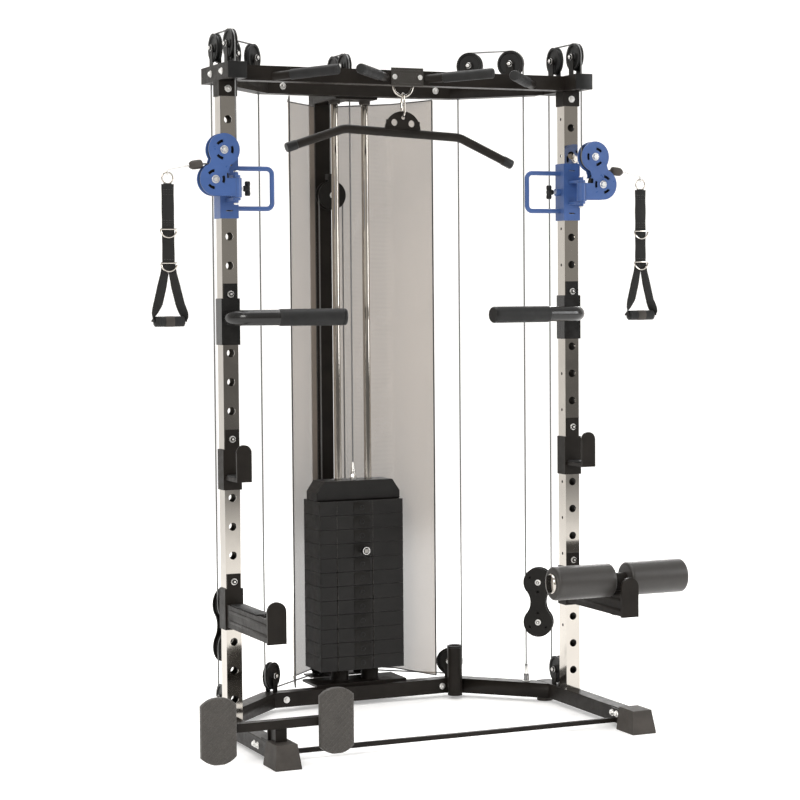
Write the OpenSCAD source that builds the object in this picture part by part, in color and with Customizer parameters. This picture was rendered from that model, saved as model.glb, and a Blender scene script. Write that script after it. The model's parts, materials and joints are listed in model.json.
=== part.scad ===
// Functional trainer: one weight stack behind a three-sided frame, two chrome uprights
// with swivelling cable carriages, and clip-on attachments. Millimetres, +Z up,
// -Y is the side the user stands on. The origin is the middle of the footprint, on the floor.

/* [Frame] */
// Distance between the centre lines of the two uprights
upright_gap = 1194; // [1150:2:1240]
// Side of the square upright tube
tube = 50; // [48:1:52]
// Wall of the square tubes
wall = 3; // [2:0.5:4]
// Height of the top of the uprights
upright_top = 2050; // [2000:10:2150]
// Distance from the upright centre line to the front end of the rubber feet
front_reach = 497; // [480:1:560]
// Distance from the upright centre line to the rear end of the base
rear_reach = 766; // [766:1:800]
// Distance from the upright centre line to the middle of the centre beams
centre_y = 370; // [366:1:372]
// Distance between the round holes in the upright faces
hole_pitch = 90; // [90:1:100]
// Radius of the round holes in the upright faces
hole_r = 12.5; // [10:0.5:13]
// Distance between the small pin holes in the inner faces
pin_pitch = 120; // [120:1:120]

/* [Pulleys and cable] */
// Outer radius of a pulley
pulley_r = 45; // [44:0.5:46]
// Width of a pulley
pulley_w = 18; // [14:1:18]
// Diameter of the steel cable
cable_d = 5; // [4:0.5:5]
// Height of the top pulleys
top_pulley_z = 2160; // [2155:1:2170]

/* [Weight stack] */
// Width of a weight plate
plate_w = 304; // [280:2:304]
// Depth of a weight plate
plate_d = 150; // [120:2:150]
// Pitch of the weight plates
plate_pitch = 48; // [44:1:48]
// Number of plates that hang on the selector pin
lifted_count = 4; // [1:1:8]
// Number of plates in the stack
plate_count = 12; // [9:1:12]
// Distance between the two guide rods
rod_gap = 110; // [100:2:112]

/* [Carriages] */
// Height of the middle of the carriage at rest
carriage_z = 1720; // [1700:1:1740]
// Height of the carriage sleeve
sleeve_h = 187; // [170:1:190]
// Distance from the upright centre line forward to the swivel axis
swivel_y = 97; // [97:1:97]
// Distance outward from the swivel axis to the middle of the stirrup strap
strap_out = 220; // [216:1:224]

/* [Attachments] */
// Height of the dip handles
dip_z = 1320; // [1300:5:1340]
// Height of the tray of the J-cups
cup_z = 818; // [800:2:840]
// Height of the underside of the spotter arms
spotter_z = 360; // [350:2:370]
// Height of the foam rollers
roller_z = 470; // [466:1:490]
// Radius of a foam roller
roller_r = 54; // [48:1:56]
// Length of a foam roller
roller_len = 208; // [180:2:208]
// Height of the middle of the straight part of the pulldown bar
bar_z = 1902; // [1900:1:1906]
// Half of the overall length of the pulldown bar
bar_half = 392; // [380:2:420]

/* [Hidden] */

mid_y = (rear_reach - front_reach) / 2;
up_x = upright_gap / 2;
half = tube / 2;
pad_h = 15;
beam_top = pad_h + tube;
beam_mid = pad_h + half;
top_beam_top = upright_top + tube;
top_beam_mid = upright_top + half;
groove_r = pulley_r - 4.5;
wrap_r = groove_r + cable_d / 2 + 0.5;
axle_r = 5;
bore_r = axle_r + 0.05;
// Hairline left between one modelled length of cable and the next
cable_gap = 0.1;
cheek_gap = 24;
cheek_t = 4;

// Plan positions, right side; the left side mirrors them.
wing_sum = up_x + 111;
corner_rear = [up_x, 87];
corner_front = [up_x, wrap_r - swivel_y];
inner_line = [361, wing_sum - 361];
wing_inner = inner_line + wrap_r * [cos(45), -sin(45)];
wing_outer = [495.5, wing_sum - 495.5];
outer_line = wing_outer + wrap_r * [cos(45), -sin(45)];
corner_line = corner_rear + [0, wrap_r];
block_mid = (outer_line + corner_line) / 2;
block_turn = atan2(corner_line[1] - outer_line[1], corner_line[0] - outer_line[0]);
float_y = 620;
rise_line = [wrap_r, float_y];
base_turn = atan2(rise_line[1] - inner_line[1], rise_line[0] - inner_line[0]);
base_pulley = inner_line + wrap_r * [cos(base_turn), sin(base_turn)];
turn_pulley = rise_line - wrap_r * [cos(base_turn), sin(base_turn)];
base_pulley_z = 120;
foot_pulley_z = 116;
block_upper_z = 406;
block_lower_z = 270;
float_z = 1731;
stack_y = 441;
lift_front = stack_y + wrap_r;
lift_rear = float_y - wrap_r;
post_y = 716;
post = 60;

plates_z0 = 117;
stack_top = plates_z0 + plate_count * plate_pitch;
resting_count = plate_count - lifted_count;
pin_z = plates_z0 + (resting_count + 0.5) * plate_pitch;
cap_h = 40;
stem_top = stack_top + cap_h + 62;

// The frame's own coordinates have y = 0 at the uprights.
module place() { translate([0, -mid_y, 0]) children(); }
module both() { children(); mirror([1, 0, 0]) children(); }
module side(s) { mirror([s < 0 ? 1 : 0, 0, 0]) children(); }

// A level bar of width w from plan point p to plan point q, between heights z0 and z1.
module bar(p, q, w, z0, z1) {
  run = norm(q - p);
  translate([p[0], p[1], z0])
    rotate([0, 0, atan2(q[1] - p[1], q[0] - p[0])])
      translate([0, -w / 2, 0]) cube([run, w, z1 - z0]);
}
// The same bar as a tube, closed at the far end and open at the near one.
module tube_bar(p, q, w, z0, z1) {
  run = norm(q - p);
  translate([p[0], p[1], z0])
    rotate([0, 0, atan2(q[1] - p[1], q[0] - p[0])])
      difference() {
        translate([0, -w / 2, 0]) cube([run, w, z1 - z0]);
        translate([-1, wall - w / 2, wall]) cube([run - wall + 1, w - 2 * wall, z1 - z0 - 2 * wall]);
      }
}
// A round rod from point p to point q.
module rod(p, q, r) {
  d = q - p;
  translate(p)
    rotate([0, acos(d[2] / norm(d)), atan2(d[1], d[0])])
      cylinder(r = r, h = norm(d), $fn = 32);
}
module rod_y(r, y0, y1) { translate([0, y0, 0]) rotate([-90, 0, 0]) cylinder(r = r, h = y1 - y0, $fn = 32); }
module rod_x(r, x0, x1) { translate([x0, 0, 0]) rotate([0, 90, 0]) cylinder(r = r, h = x1 - x0, $fn = 32); }

// A pulley about the Y axis: rim, V groove, web with a raised hub, and an axle bore.
module pulley() {
  h = pulley_w / 2;
  rotate([90, 0, 0])
    rotate_extrude($fn = 64)
      polygon([[bore_r, -h], [12, -h], [14, -h + 4], [pulley_r - 9, -h + 4], [pulley_r - 7, -h],
        [pulley_r, -h], [pulley_r, -h + 3], [groove_r, -2], [groove_r, 2], [pulley_r, h - 3],
        [pulley_r, h], [pulley_r - 7, h], [pulley_r - 9, h - 4], [14, h - 4], [12, h], [bore_r, h]]);
}
// Pulley standing in the vertical plane that is turned by angle a from the XZ plane.
module pulley_at(p, z, a) { translate([p[0], p[1], z]) rotate([0, 0, a]) pulley(); }
// Two fork plates from z0 up to the axle at z, with the axle bolt and its two heads.
module fork(p, z, a, z0) {
  translate([p[0], p[1], 0]) rotate([0, 0, a]) {
    for (s = [-1, 1])
      translate([0, s * (cheek_gap / 2 + 1.5), 0]) {
        translate([-14, -1.5, z0]) cube([28, 3, z - z0]);
        translate([0, 0, z]) rod_y(14, -1.5, 1.5);
        translate([0, 0, z]) rod_y(9, s > 0 ? 1.5 : -8, s > 0 ? 8 : -1.5);
      }
    translate([0, 0, z]) rod_y(axle_r, -cheek_gap / 2 - 2, cheek_gap / 2 + 2);
  }
}

// Cable pieces: an upright run, a level run, and an arc round a pulley.
module cable_up(p, z0, z1) {
  translate([p[0], p[1], z0 + cable_gap]) cylinder(d = cable_d, h = z1 - z0 - 2 * cable_gap, $fn = 24);
}
module cable_level(p, q, z) {
  trim = cable_gap * (q - p) / norm(q - p);
  rod([p[0] + trim[0], p[1] + trim[1], z], [q[0] - trim[0], q[1] - trim[1], z], cable_d / 2);
}
module cable_arc(p, z, turn, from, sweep) {
  translate([p[0], p[1], z])
    rotate([0, 0, turn])
      rotate([90, 0, 0])
        rotate_extrude(angle = sweep, start = from, $fn = 64)
          translate([wrap_r, 0]) circle(d = cable_d, $fn = 16);
}

// ---- Base -------------------------------------------------------------------------

module foot_beams() {
  color("#2b2825") place() both()
    tube_bar([up_x, -front_reach + 22], [up_x, 190], tube, pad_h, beam_top);
}
module base_wings() {
  color("#2b2825") place() both()
    difference() {
      bar([up_x, 111], [338, wing_sum - 338], tube, pad_h, beam_top);
      translate([up_x - half, -50, 0]) cube([tube + 40, 400, 100]);
      translate([-350, centre_y - half, 0]) cube([700, tube, 100]);
    }
}
module base_centre_beam() {
  color("#2b2825") place()
    difference() {
      translate([-350, centre_y - half, pad_h]) cube([700, tube, tube]);
      translate([-350 + wall, centre_y - half + wall, pad_h + wall])
        cube([700 + 1, tube - 2 * wall, tube - 2 * wall]);
    }
}
module base_spine() {
  y0 = centre_y + half;
  color("#2b2825") place() {
    difference() {
      translate([-half, y0, pad_h]) cube([tube, rear_reach - y0, tube]);
      translate([-half + wall, y0 - 1, pad_h + wall])
        cube([tube - 2 * wall, rear_reach - y0 - wall + 1, tube - 2 * wall]);
    }
    // Stack plate on the beam, and the plate under the two turning pulleys
    translate([-165, y0 - 18, beam_top]) cube([330, 135, 8]);
    translate([-115, 560, beam_top]) cube([230, 70, 5]);
    // Rubber buffers under the stack, round the guide rods
    for (s = [-1, 1])
      translate([s * rod_gap / 2, stack_y, beam_top + 8])
        difference() {
          cylinder(r = 30, h = plates_z0 - beam_top - 8, $fn = 40);
          translate([0, 0, -1]) cylinder(r = 14, h = 60, $fn = 32);
        }
  }
}
module rubber_foot() {
  depth = 108;
  base = 82;
  crown = 66;
  front = -front_reach;
  difference() {
    hull() {
      translate([up_x - base / 2, front, 0]) cube([base, depth, 6]);
      translate([up_x - crown / 2, front + 14, beam_top + 6]) cube([crown, depth - 20, 2]);
    }
    translate([up_x - half - 0.2, front + 21.8, pad_h - 0.2]) cube([tube + 0.4, depth, tube + 0.4]);
  }
}
module rubber_feet() {
  color("#4a4541") place() {
    both() rubber_foot();
    both() translate([up_x - 12, 158, 0]) cylinder(r = 27, h = pad_h, $fn = 48);
    translate([0, 735, 0]) cylinder(r = 27, h = pad_h, $fn = 48);
  }
}
module storage_tube() {
  color("#24211f") place()
    translate([320, 316, 12])
      difference() {
        union() {
          cylinder(r = 25, h = 170, $fn = 48);
          // Lug welded to the face of the base wing
          rotate([0, 0, 45]) translate([0, -10, 8]) cube([25.9, 20, 40]);
        }
        translate([0, 0, 8]) cylinder(r = 22, h = 163, $fn = 48);
      }
}
module floor_tie_bar() {
  color("#3a3632") place() {
    translate([-up_x + half + 6, -367, 18]) cube([2 * up_x - tube - 12, 14, 14]);
    both() translate([up_x - half - 6, -388, 16]) cube([6, 56, 46]);
  }
}

// ---- Uprights, post and top frame ------------------------------------------------

module upright(x) {
  inward = x > 0 ? -1 : 1;
  first_hole = 131;
  first_pin = 280;
  color("#d8d8d8") place()
    translate([x, 0, 0])
      difference() {
        translate([-half, -half, beam_top]) cube([tube, tube, upright_top - beam_top]);
        translate([-half + wall, -half + wall, beam_top - 1])
          cube([tube - 2 * wall, tube - 2 * wall, upright_top - beam_top + 2]);
        for (z = [first_hole : hole_pitch : upright_top - 80])
          translate([0, 0, z]) rod_y(hole_r, -tube, tube);
        for (z = [first_pin : pin_pitch : upright_top - 80])
          translate([inward * half, 0, z]) rod_x(5, -8, 8);
      }
}
module left_upright() { upright(-up_x); }
module right_upright() { upright(up_x); }
module rear_post() {
  color("#2b2825") place()
    difference() {
      translate([-post / 2, post_y - post / 2, beam_top]) cube([post, post, top_beam_top - beam_top]);
      translate([-post / 2 + wall, post_y - post / 2 + wall, beam_top - 1])
        cube([post - 2 * wall, post - 2 * wall, top_beam_top - beam_top - wall + 1]);
    }
}
// Hole that lets a cable pass down through a top beam at plan point p.
module cable_hole(p) { translate([p[0], p[1], upright_top - 5]) cylinder(r = 7, h = tube + 10, $fn = 32); }
module side_top_beams() {
  color("#2b2825") place() both()
    difference() {
      tube_bar([up_x, 140], [up_x, -115], 60, upright_top, top_beam_top);
      cable_hole([up_x, -swivel_y]);
      cable_hole(corner_line);
    }
}
module top_wings() {
  color("#2b2825") place() both()
    difference() {
      bar([up_x, 111], [338, wing_sum - 338], tube, upright_top, top_beam_top);
      translate([up_x - 30, -120, upright_top - 1]) cube([120, 400, 100]);
      translate([-350, centre_y - half, upright_top - 1]) cube([700, tube, 100]);
      cable_hole(inner_line);
      cable_hole(outer_line);
    }
}
module top_rear_frame() {
  y0 = centre_y + half;
  color("#2b2825") place() {
    difference() {
      translate([-350, centre_y - half, upright_top]) cube([700, tube, tube]);
      translate([-350 + wall, centre_y - half + wall, upright_top + wall])
        cube([700 + 1, tube - 2 * wall, tube - 2 * wall]);
    }
    // Two rails back to the rear post, with the rod plate under them
    both() translate([15, y0 - 1, upright_top]) cube([20, post_y - post / 2 - y0 + 1, tube]);
    difference() {
      translate([-75, y0 - 20, upright_top - 8]) cube([150, 100, 8]);
      translate([0, stack_y, upright_top - 10]) cylinder(r = 12, h = 12, $fn = 32);
      for (s = [-1, 1])
        translate([s * rod_gap / 2, stack_y, upright_top - 10]) cylinder(r = 13, h = 12, $fn = 32);
    }
  }
}
module upright_clamps() {
  t = 5;
  drop = 48;
  color("#24211f") place() both()
    translate([up_x, 0, upright_top - drop])
      difference() {
        translate([-half - t, -half - t, 0]) cube([tube + 2 * t, tube + t, drop]);
        translate([-half, -half, -1]) cube([tube, tube + 10, drop + 2]);
      }
}
module pull_up_bar() {
  front = -40;
  x1 = up_x - 30;
  color("#2b2825") place() {
    translate([-x1, front, upright_top + 2]) cube([2 * x1, 50, 46]);
    both() {
      rod([448, front + 6, 2066], [300, -200, 2078], 14);
      rod([70, front + 6, 2074], [226, -200, 2082], 14);
    }
  }
}
module hook_plate() {
  loop_r = 33;
  color("#6b6660") place() {
    difference() {
      translate([-55, -45, 2049]) cube([110, 5, 57]);
      for (s = [-1, 1]) translate([s * 44, -43, 2077]) rod_y(4, -5, 5);
    }
    translate([0, -8, upright_top + 2])
      rotate([90, 0, 0])
        rotate_extrude(angle = 180, start = 180, $fn = 64)
          translate([loop_r, 0]) circle(r = 4, $fn = 24);
  }
}
module mesh_shroud() {
  t = 3;
  color("#beb2a5") place() both()
    translate([0, 0, 82])
      linear_extrude(height = 1960)
        polygon([[258, 336], [190, 530], [33, 684], [33, 684 - 1.4 * t], [190 - t, 530 - t], [258 - t, 336]]);
}
module guide_rods() {
  color("#dcdcdc") place()
    for (s = [-1, 1])
      translate([s * rod_gap / 2, stack_y, beam_top + 8])
        cylinder(r = 12.5, h = upright_top - beam_top - 8, $fn = 40);
}

// Hexagon head with a washer, on a face whose outward direction is +Z before turning.
module bolt_head() {
  cylinder(r = 11, h = 2, $fn = 32);
  translate([0, 0, 2]) cylinder(r = 8, h = 6, $fn = 6);
}
module frame_bolts() {
  color("#d8d8d8") place() both() {
    // Clamp, and the outer faces of the side top beams
    translate([up_x, -half - 5, 2025]) rotate([90, 0, 0]) bolt_head();
    for (y = [-58, 46]) translate([up_x + 30, y, top_beam_mid]) rotate([0, 90, 0]) bolt_head();
    // Front faces of the centre beams
    translate([276, centre_y - half, top_beam_mid]) rotate([90, 0, 0]) bolt_head();
    translate([286, centre_y - half, beam_mid]) rotate([90, 0, 0]) bolt_head();
    // Outer and inner faces of the foot beams
    for (y = [-300, -270]) translate([up_x + half, y, beam_mid]) rotate([0, 90, 0]) bolt_head();
    for (y = [-374, -346]) translate([up_x - half - 6, y, beam_mid + 6]) rotate([0, -90, 0]) bolt_head();
  }
}

// ---- Pulleys and cable -------------------------------------------------------------

module pulley_forks() {
  color("#24211f") place() {
    both() {
      fork(corner_front, top_pulley_z, 90, top_beam_top);
      fork(corner_rear, top_pulley_z, 90, top_beam_top);
      fork(wing_inner, top_pulley_z, -45, top_beam_top);
      fork(wing_outer, top_pulley_z, -45, top_beam_top);
      fork(base_pulley, base_pulley_z, base_turn, beam_top);
      fork(turn_pulley, base_pulley_z, base_turn, beam_top + 5);
      fork(corner_rear, foot_pulley_z, 90, beam_top);
    }
    for (y = [lift_front, lift_rear])
      for (s = [-1, 1])
        translate([s * (cheek_gap / 2 + 1.5) - 1.5, y - 14, upright_top])
          cube([3, 28, top_pulley_z - upright_top + 14]);
    for (y = [lift_front, lift_rear])
      translate([0, y, top_pulley_z]) rod_x(axle_r, -cheek_gap / 2 - 9, cheek_gap / 2 + 9);
  }
}
module frame_pulleys() {
  color("#1f1d1b") place() {
    both() {
      pulley_at(corner_front, top_pulley_z, 90);
      pulley_at(corner_rear, top_pulley_z, 90);
      pulley_at(wing_inner, top_pulley_z, -45);
      pulley_at(wing_outer, top_pulley_z, -45);
      pulley_at(base_pulley, base_pulley_z, base_turn);
      pulley_at(turn_pulley, base_pulley_z, base_turn);
      pulley_at(corner_rear, foot_pulley_z, 90);
    }
    pulley_at([0, lift_front], top_pulley_z, 90);
    pulley_at([0, lift_rear], top_pulley_z, 90);
  }
}
module fixed_cables() {
  over = top_pulley_z + wrap_r;
  under = base_pulley_z - wrap_r;
  color("#5a5a5a") place() {
    both() {
      // Over the two corner pulleys, down to the side block and up again
      cable_arc(corner_front, top_pulley_z, 90, 90, 90);
      cable_level(corner_front, corner_rear, over);
      cable_arc(corner_rear, top_pulley_z, 90, 0, 90);
      cable_up(corner_line, block_upper_z, top_pulley_z);
      cable_arc(block_mid, block_upper_z, block_turn, 180, 180);
      cable_up(outer_line, block_upper_z, top_pulley_z);
      // Along the wing and down to the base
      cable_arc(wing_outer, top_pulley_z, -45, 0, 90);
      cable_level(wing_outer, wing_inner, over);
      cable_arc(wing_inner, top_pulley_z, -45, 90, 90);
      cable_up(inner_line, base_pulley_z, top_pulley_z);
      cable_arc(base_pulley, base_pulley_z, base_turn, 180, 90);
      cable_level(base_pulley, turn_pulley, under);
      cable_arc(turn_pulley, base_pulley_z, base_turn, 270, 90);
      // Lower loop from its anchor over the side block to the foot pulley
      cable_up(outer_line, beam_top + 60, block_lower_z);
      cable_arc(block_mid, block_lower_z, block_turn, 0, 180);
      cable_up(corner_line, foot_pulley_z, block_lower_z);
      cable_arc(corner_rear, foot_pulley_z, 90, 270, 90);
      translate([outer_line[0], outer_line[1], beam_top]) cylinder(r = 9, h = 26, $fn = 32);
      translate([outer_line[0], outer_line[1], beam_top + 26]) cylinder(r = 5, h = 34, $fn = 24);
      translate([up_x, 0, foot_pulley_z - wrap_r]) rod_y(6.5, 34, 56);
      translate([up_x, 0, foot_pulley_z - wrap_r]) rod_y(cable_d / 2, 56, corner_rear[1]);
    }
    // Over the two lift pulleys
    cable_arc([0, lift_front], top_pulley_z, 90, 90, 90);
    cable_level([0, lift_front], [0, lift_rear], over);
    cable_arc([0, lift_rear], top_pulley_z, 90, 0, 90);
  }
}
module lift_run() { color("#5a5a5a") place() cable_up([0, stack_y], stem_top, top_pulley_z); }
module back_run() { color("#5a5a5a") place() cable_up([0, float_y], float_z + 74, top_pulley_z); }
module centre_runs() { color("#5a5a5a") place() both() cable_up(rise_line, base_pulley_z, float_z); }
module carriage_run(s) {
  color("#5a5a5a") place() side(s) cable_up([up_x, -swivel_y], carriage_z + 112, top_pulley_z);
}
module left_carriage_run() { carriage_run(-1); }
module right_carriage_run() { carriage_run(1); }

// Two round lobes of radius r, a distance d apart up the Y axis, joined by a hollow waist of half width w.
module lobes(d, r, w) {
  hollow_r = (w * w + d * d / 4 - r * r) / (2 * (r - w));
  meet_x = (w + hollow_r) * r / (r + hollow_r);
  // The waist stops short of the tangent points by this much
  inset = 0.3;
  for (y = [0, d]) translate([0, y]) circle(r = r, $fn = 64);
  difference() {
    translate([inset - meet_x, 0]) square([2 * (meet_x - inset), d]);
    for (k = [-1, 1]) translate([k * (w + hollow_r), d / 2]) circle(r = hollow_r, $fn = 96);
  }
}
module cheek_plate(z0, z1) {
  rotate([90, 0, 0])
    linear_extrude(height = cheek_t, center = true)
      difference() {
        union() {
          translate([0, z1]) lobes(z0 - z1, 50, 26);
        }
        for (a = [30, 150, 270]) translate([0, z0]) rotate(a) translate([28, -5]) square([8, 10]);
        for (a = [90, 210, 330]) translate([0, z1]) rotate(a) translate([28, -5]) square([8, 10]);
      }
}
module side_block(s) {
  color("#1f1d1b") place() side(s)
    translate([block_mid[0], block_mid[1], 0]) rotate([0, 0, block_turn]) {
      for (k = [-1, 1])
        translate([0, k * (cheek_gap / 2 + cheek_t / 2), 0])
          cheek_plate(block_upper_z, block_lower_z);
      for (z = [block_upper_z, block_lower_z]) {
        translate([0, 0, z]) pulley();
        translate([0, 0, z]) rod_y(axle_r, -cheek_gap / 2 - 12, cheek_gap / 2 + 12);
      }
    }
}
module left_side_block() { side_block(-1); }
module right_side_block() { side_block(1); }
module float_block() {
  color("#1f1d1b") place()
    translate([0, float_y, float_z]) {
      for (k = [-1, 1])
        translate([0, k * (cheek_gap / 2 + cheek_t / 2), 0])
          rotate([90, 0, 0])
            linear_extrude(height = cheek_t, center = true)
              union() {
                circle(r = 50, $fn = 64);
                translate([-14, 0]) square([28, 74]);
              }
      translate([-14, -cheek_gap / 2, 54]) cube([28, cheek_gap, 20]);
      pulley();
      rod_y(axle_r, -cheek_gap / 2 - 10, cheek_gap / 2 + 10);
      cable_arc([0, 0], 0, 0, 0, 180);
    }
}

// ---- Weight stack ------------------------------------------------------------------

module weight_plate() {
  gap = 0.5;
  difference() {
    translate([-plate_w / 2, -plate_d / 2, 0]) cube([plate_w, plate_d, plate_pitch - gap]);
    for (s = [-1, 1]) translate([s * rod_gap / 2, 0, -1]) cylinder(r = 14, h = plate_pitch + 2, $fn = 40);
    translate([0, 0, -1]) cylinder(r = 13, h = plate_pitch + 2, $fn = 40);
    translate([0, -plate_d / 2 + 30, plate_pitch / 2]) rod_y(6, -40, 40);
    // Light cuts down the front face, either side of the pin column
    for (x = [-92, 38]) translate([x, -plate_d / 2 - 1, -1]) cube([3, 3, plate_pitch + 2]);
  }
}
module plates(first, count) {
  color("#1f1d1b") place()
    for (i = [first : first + count - 1])
      translate([0, stack_y, plates_z0 + i * plate_pitch]) weight_plate();
}
module resting_plates() { plates(0, resting_count); }
module lifted_plates() { plates(resting_count, lifted_count); }
module weight_cap() {
  cut = 26;
  color("#24211f") place()
    translate([0, stack_y, stack_top])
      difference() {
        rotate([90, 0, 0])
          linear_extrude(height = 100, center = true)
            polygon([[-152, 0], [152, 0], [152, cap_h - cut / 2], [152 - cut, cap_h + cut],
              [cut - 152, cap_h + cut], [-152, cap_h - cut / 2]]);
        for (s = [-1, 1]) translate([s * rod_gap / 2, 0, -1]) cylinder(r = 14, h = 90, $fn = 40);
        translate([0, 0, -1]) cylinder(r = 11, h = 90, $fn = 40);
      }
}
module selector_stem() {
  color("#cfcfcf") place()
    translate([0, stack_y, 0]) {
      difference() {
        translate([0, 0, plates_z0 + 2]) cylinder(r = 11, h = stack_top + cap_h - plates_z0 + 30, $fn = 40);
        for (i = [0 : plate_count - 1])
          translate([0, 0, plates_z0 + (i + 0.5) * plate_pitch]) rod_y(5.5, -20, 20);
      }
      translate([0, 0, stack_top + cap_h + 32])
        cylinder(r = 7, h = stem_top - stack_top - cap_h - 32, $fn = 32);
    }
}
module selector_pin() {
  front = -plate_d / 2;
  color("#c8c8c8") place()
    translate([0, stack_y, pin_z]) {
      rod_y(5.4, front - 22, 11.5);
      rod_y(13, front - 40, front - 22);
    }
}

// ---- Carriages, right side; the left one mirrors it -----------------------------------

module carriage(s) {
  outer = 30;
  inner = half + 1;
  z0 = carriage_z - sleeve_h / 2;
  grip_x = 446;
  grip_h = 62;
  bend = 18;
  color("#3c5faa") place() side(s) {
    difference() {
      translate([up_x - outer, -outer, z0]) cube([2 * outer, 2 * outer, sleeve_h]);
      translate([up_x - inner, -inner, z0 - 1]) cube([2 * inner, 2 * inner, sleeve_h + 2]);
      for (z = [carriage_z + 70, carriage_z - 70]) translate([up_x - 11, -outer - 1, z - 2]) cube([22, 6, 4]);
      translate([up_x - outer, 0, carriage_z]) rod_x(6.05, -10, 10);
    }
    // Lugs and hinge pin of the swivel
    for (z = [1679, 1748]) {
      translate([up_x - 12, -swivel_y, z]) cube([24, swivel_y - outer, 8]);
      translate([up_x, -swivel_y, z]) cylinder(r = 12, h = 8, $fn = 40);
    }
    translate([up_x, -swivel_y, 1668]) cylinder(r = 6, h = 100, $fn = 32);
    // Lifting handle
    for (k = [-1, 1]) {
      translate([0, 0, carriage_z + k * grip_h]) rod_x(7.5, grip_x + bend, up_x - outer);
      translate([grip_x + bend, 0, carriage_z + k * (grip_h - bend)])
        rotate([90, 0, 0])
          rotate_extrude(angle = 90, start = k > 0 ? 90 : 180, $fn = 48)
            translate([bend, 0]) circle(r = 7.5, $fn = 24);
    }
    translate([grip_x, 0, carriage_z - grip_h + bend]) cylinder(r = 7.5, h = 2 * (grip_h - bend), $fn = 24);
    // Guide bush of the pop pin
    translate([0, 0, carriage_z])
      difference() {
        rod_x(12, up_x - outer - 16, up_x - outer);
        rod_x(6.05, up_x - outer - 20, up_x - outer + 2);
      }
  }
}
module left_carriage() { carriage(-1); }
module right_carriage() { carriage(1); }
module pop_pin(s) {
  face = up_x - 30;
  color("#191817") place() side(s)
    translate([0, 0, carriage_z]) {
      rod_x(6, face - 50, face - 1.5);
      rod_x(4.8, face - 1.5, face + 4.5);
      translate([face - 40, 0, -23]) cylinder(r = 8, h = 46, $fn = 32);
    }
}
module left_pop_pin() { pop_pin(-1); }
module right_pop_pin() { pop_pin(1); }

upper_out = wrap_r;
upper_z = 1832;
lower_out = 72;
lower_z = 1742;
lobe_r = 50;
waist = 32;
// Outline of a cheek of the swivel arm, x outward from the swivel axis, y up.
module arm_outline() {
  lean = atan2(lower_out - upper_out, upper_z - lower_z);
  off = waist * [cos(lean), sin(lean)];
  difference() {
    union() {
      translate([upper_out, upper_z]) circle(r = lobe_r, $fn = 64);
      translate([lower_out, lower_z]) circle(r = lobe_r, $fn = 64);
      polygon([[upper_out, upper_z] - off, [upper_out, upper_z] + off,
        [lower_out, lower_z] + off, [lower_out, lower_z] - off]);
      translate([0, lower_z - lobe_r]) square([lower_out, lobe_r + 4]);
    }
    translate([-20, 1746]) square([56, 16]);
    translate([-20, 1600]) square([20.1, 200]);
    for (c = [[upper_out, upper_z], [lower_out, lower_z]]) translate(c) arm_slots();
  }
}
// Three short ring slots about a pulley centre.
module arm_slots() {
  for (a = [60, 180, 300])
    intersection() {
      difference() {
        circle(r = 31, $fn = 48);
        circle(r = 22, $fn = 48);
      }
      rotate(a) polygon([[0, 0], [60, -26], [60, 26]]);
    }
}
module pulley_arm(s) {
  color("#3c5faa") place() side(s)
    translate([up_x, -swivel_y, 0]) {
      for (k = [-1, 1])
        translate([0, k * (cheek_gap / 2 + cheek_t / 2), 0])
          difference() {
            rotate([90, 0, 0]) linear_extrude(height = cheek_t, center = true) arm_outline();
            translate([0, 0, 1600]) cylinder(r = 8, h = 147, $fn = 32);
          }
      // Hinge barrel between the lugs
      translate([0, 0, 1688])
        difference() {
          cylinder(r = 16, h = 59, $fn = 40);
          translate([0, 0, -1]) cylinder(r = 6.05, h = 62, $fn = 40);
        }
      for (c = [[upper_out, upper_z], [lower_out, lower_z]])
        translate([c[0], 0, c[1]]) {
          rod_y(axle_r, -cheek_gap / 2, cheek_gap / 2);
          for (k = [-1, 1]) translate([0, k * (cheek_gap / 2 + cheek_t + 3), 0]) rod_y(9, -3, 3);
        }
    }
}
module left_pulley_arm() { pulley_arm(-1); }
module right_pulley_arm() { pulley_arm(1); }
module arm_pulley(s, out, z) {
  color("#1f1d1b") place() side(s) translate([up_x + out, -swivel_y, z]) pulley();
}
module left_upper_pulley() { arm_pulley(-1, upper_out, upper_z); }
module right_upper_pulley() { arm_pulley(1, upper_out, upper_z); }
module left_lower_pulley() { arm_pulley(-1, lower_out, lower_z); }
module right_lower_pulley() { arm_pulley(1, lower_out, lower_z); }

stop_z = upper_z - wrap_r;
stop_out = 112;
eye_z = 1761;
eye_r = 7;
ring_r = 17;
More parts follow.
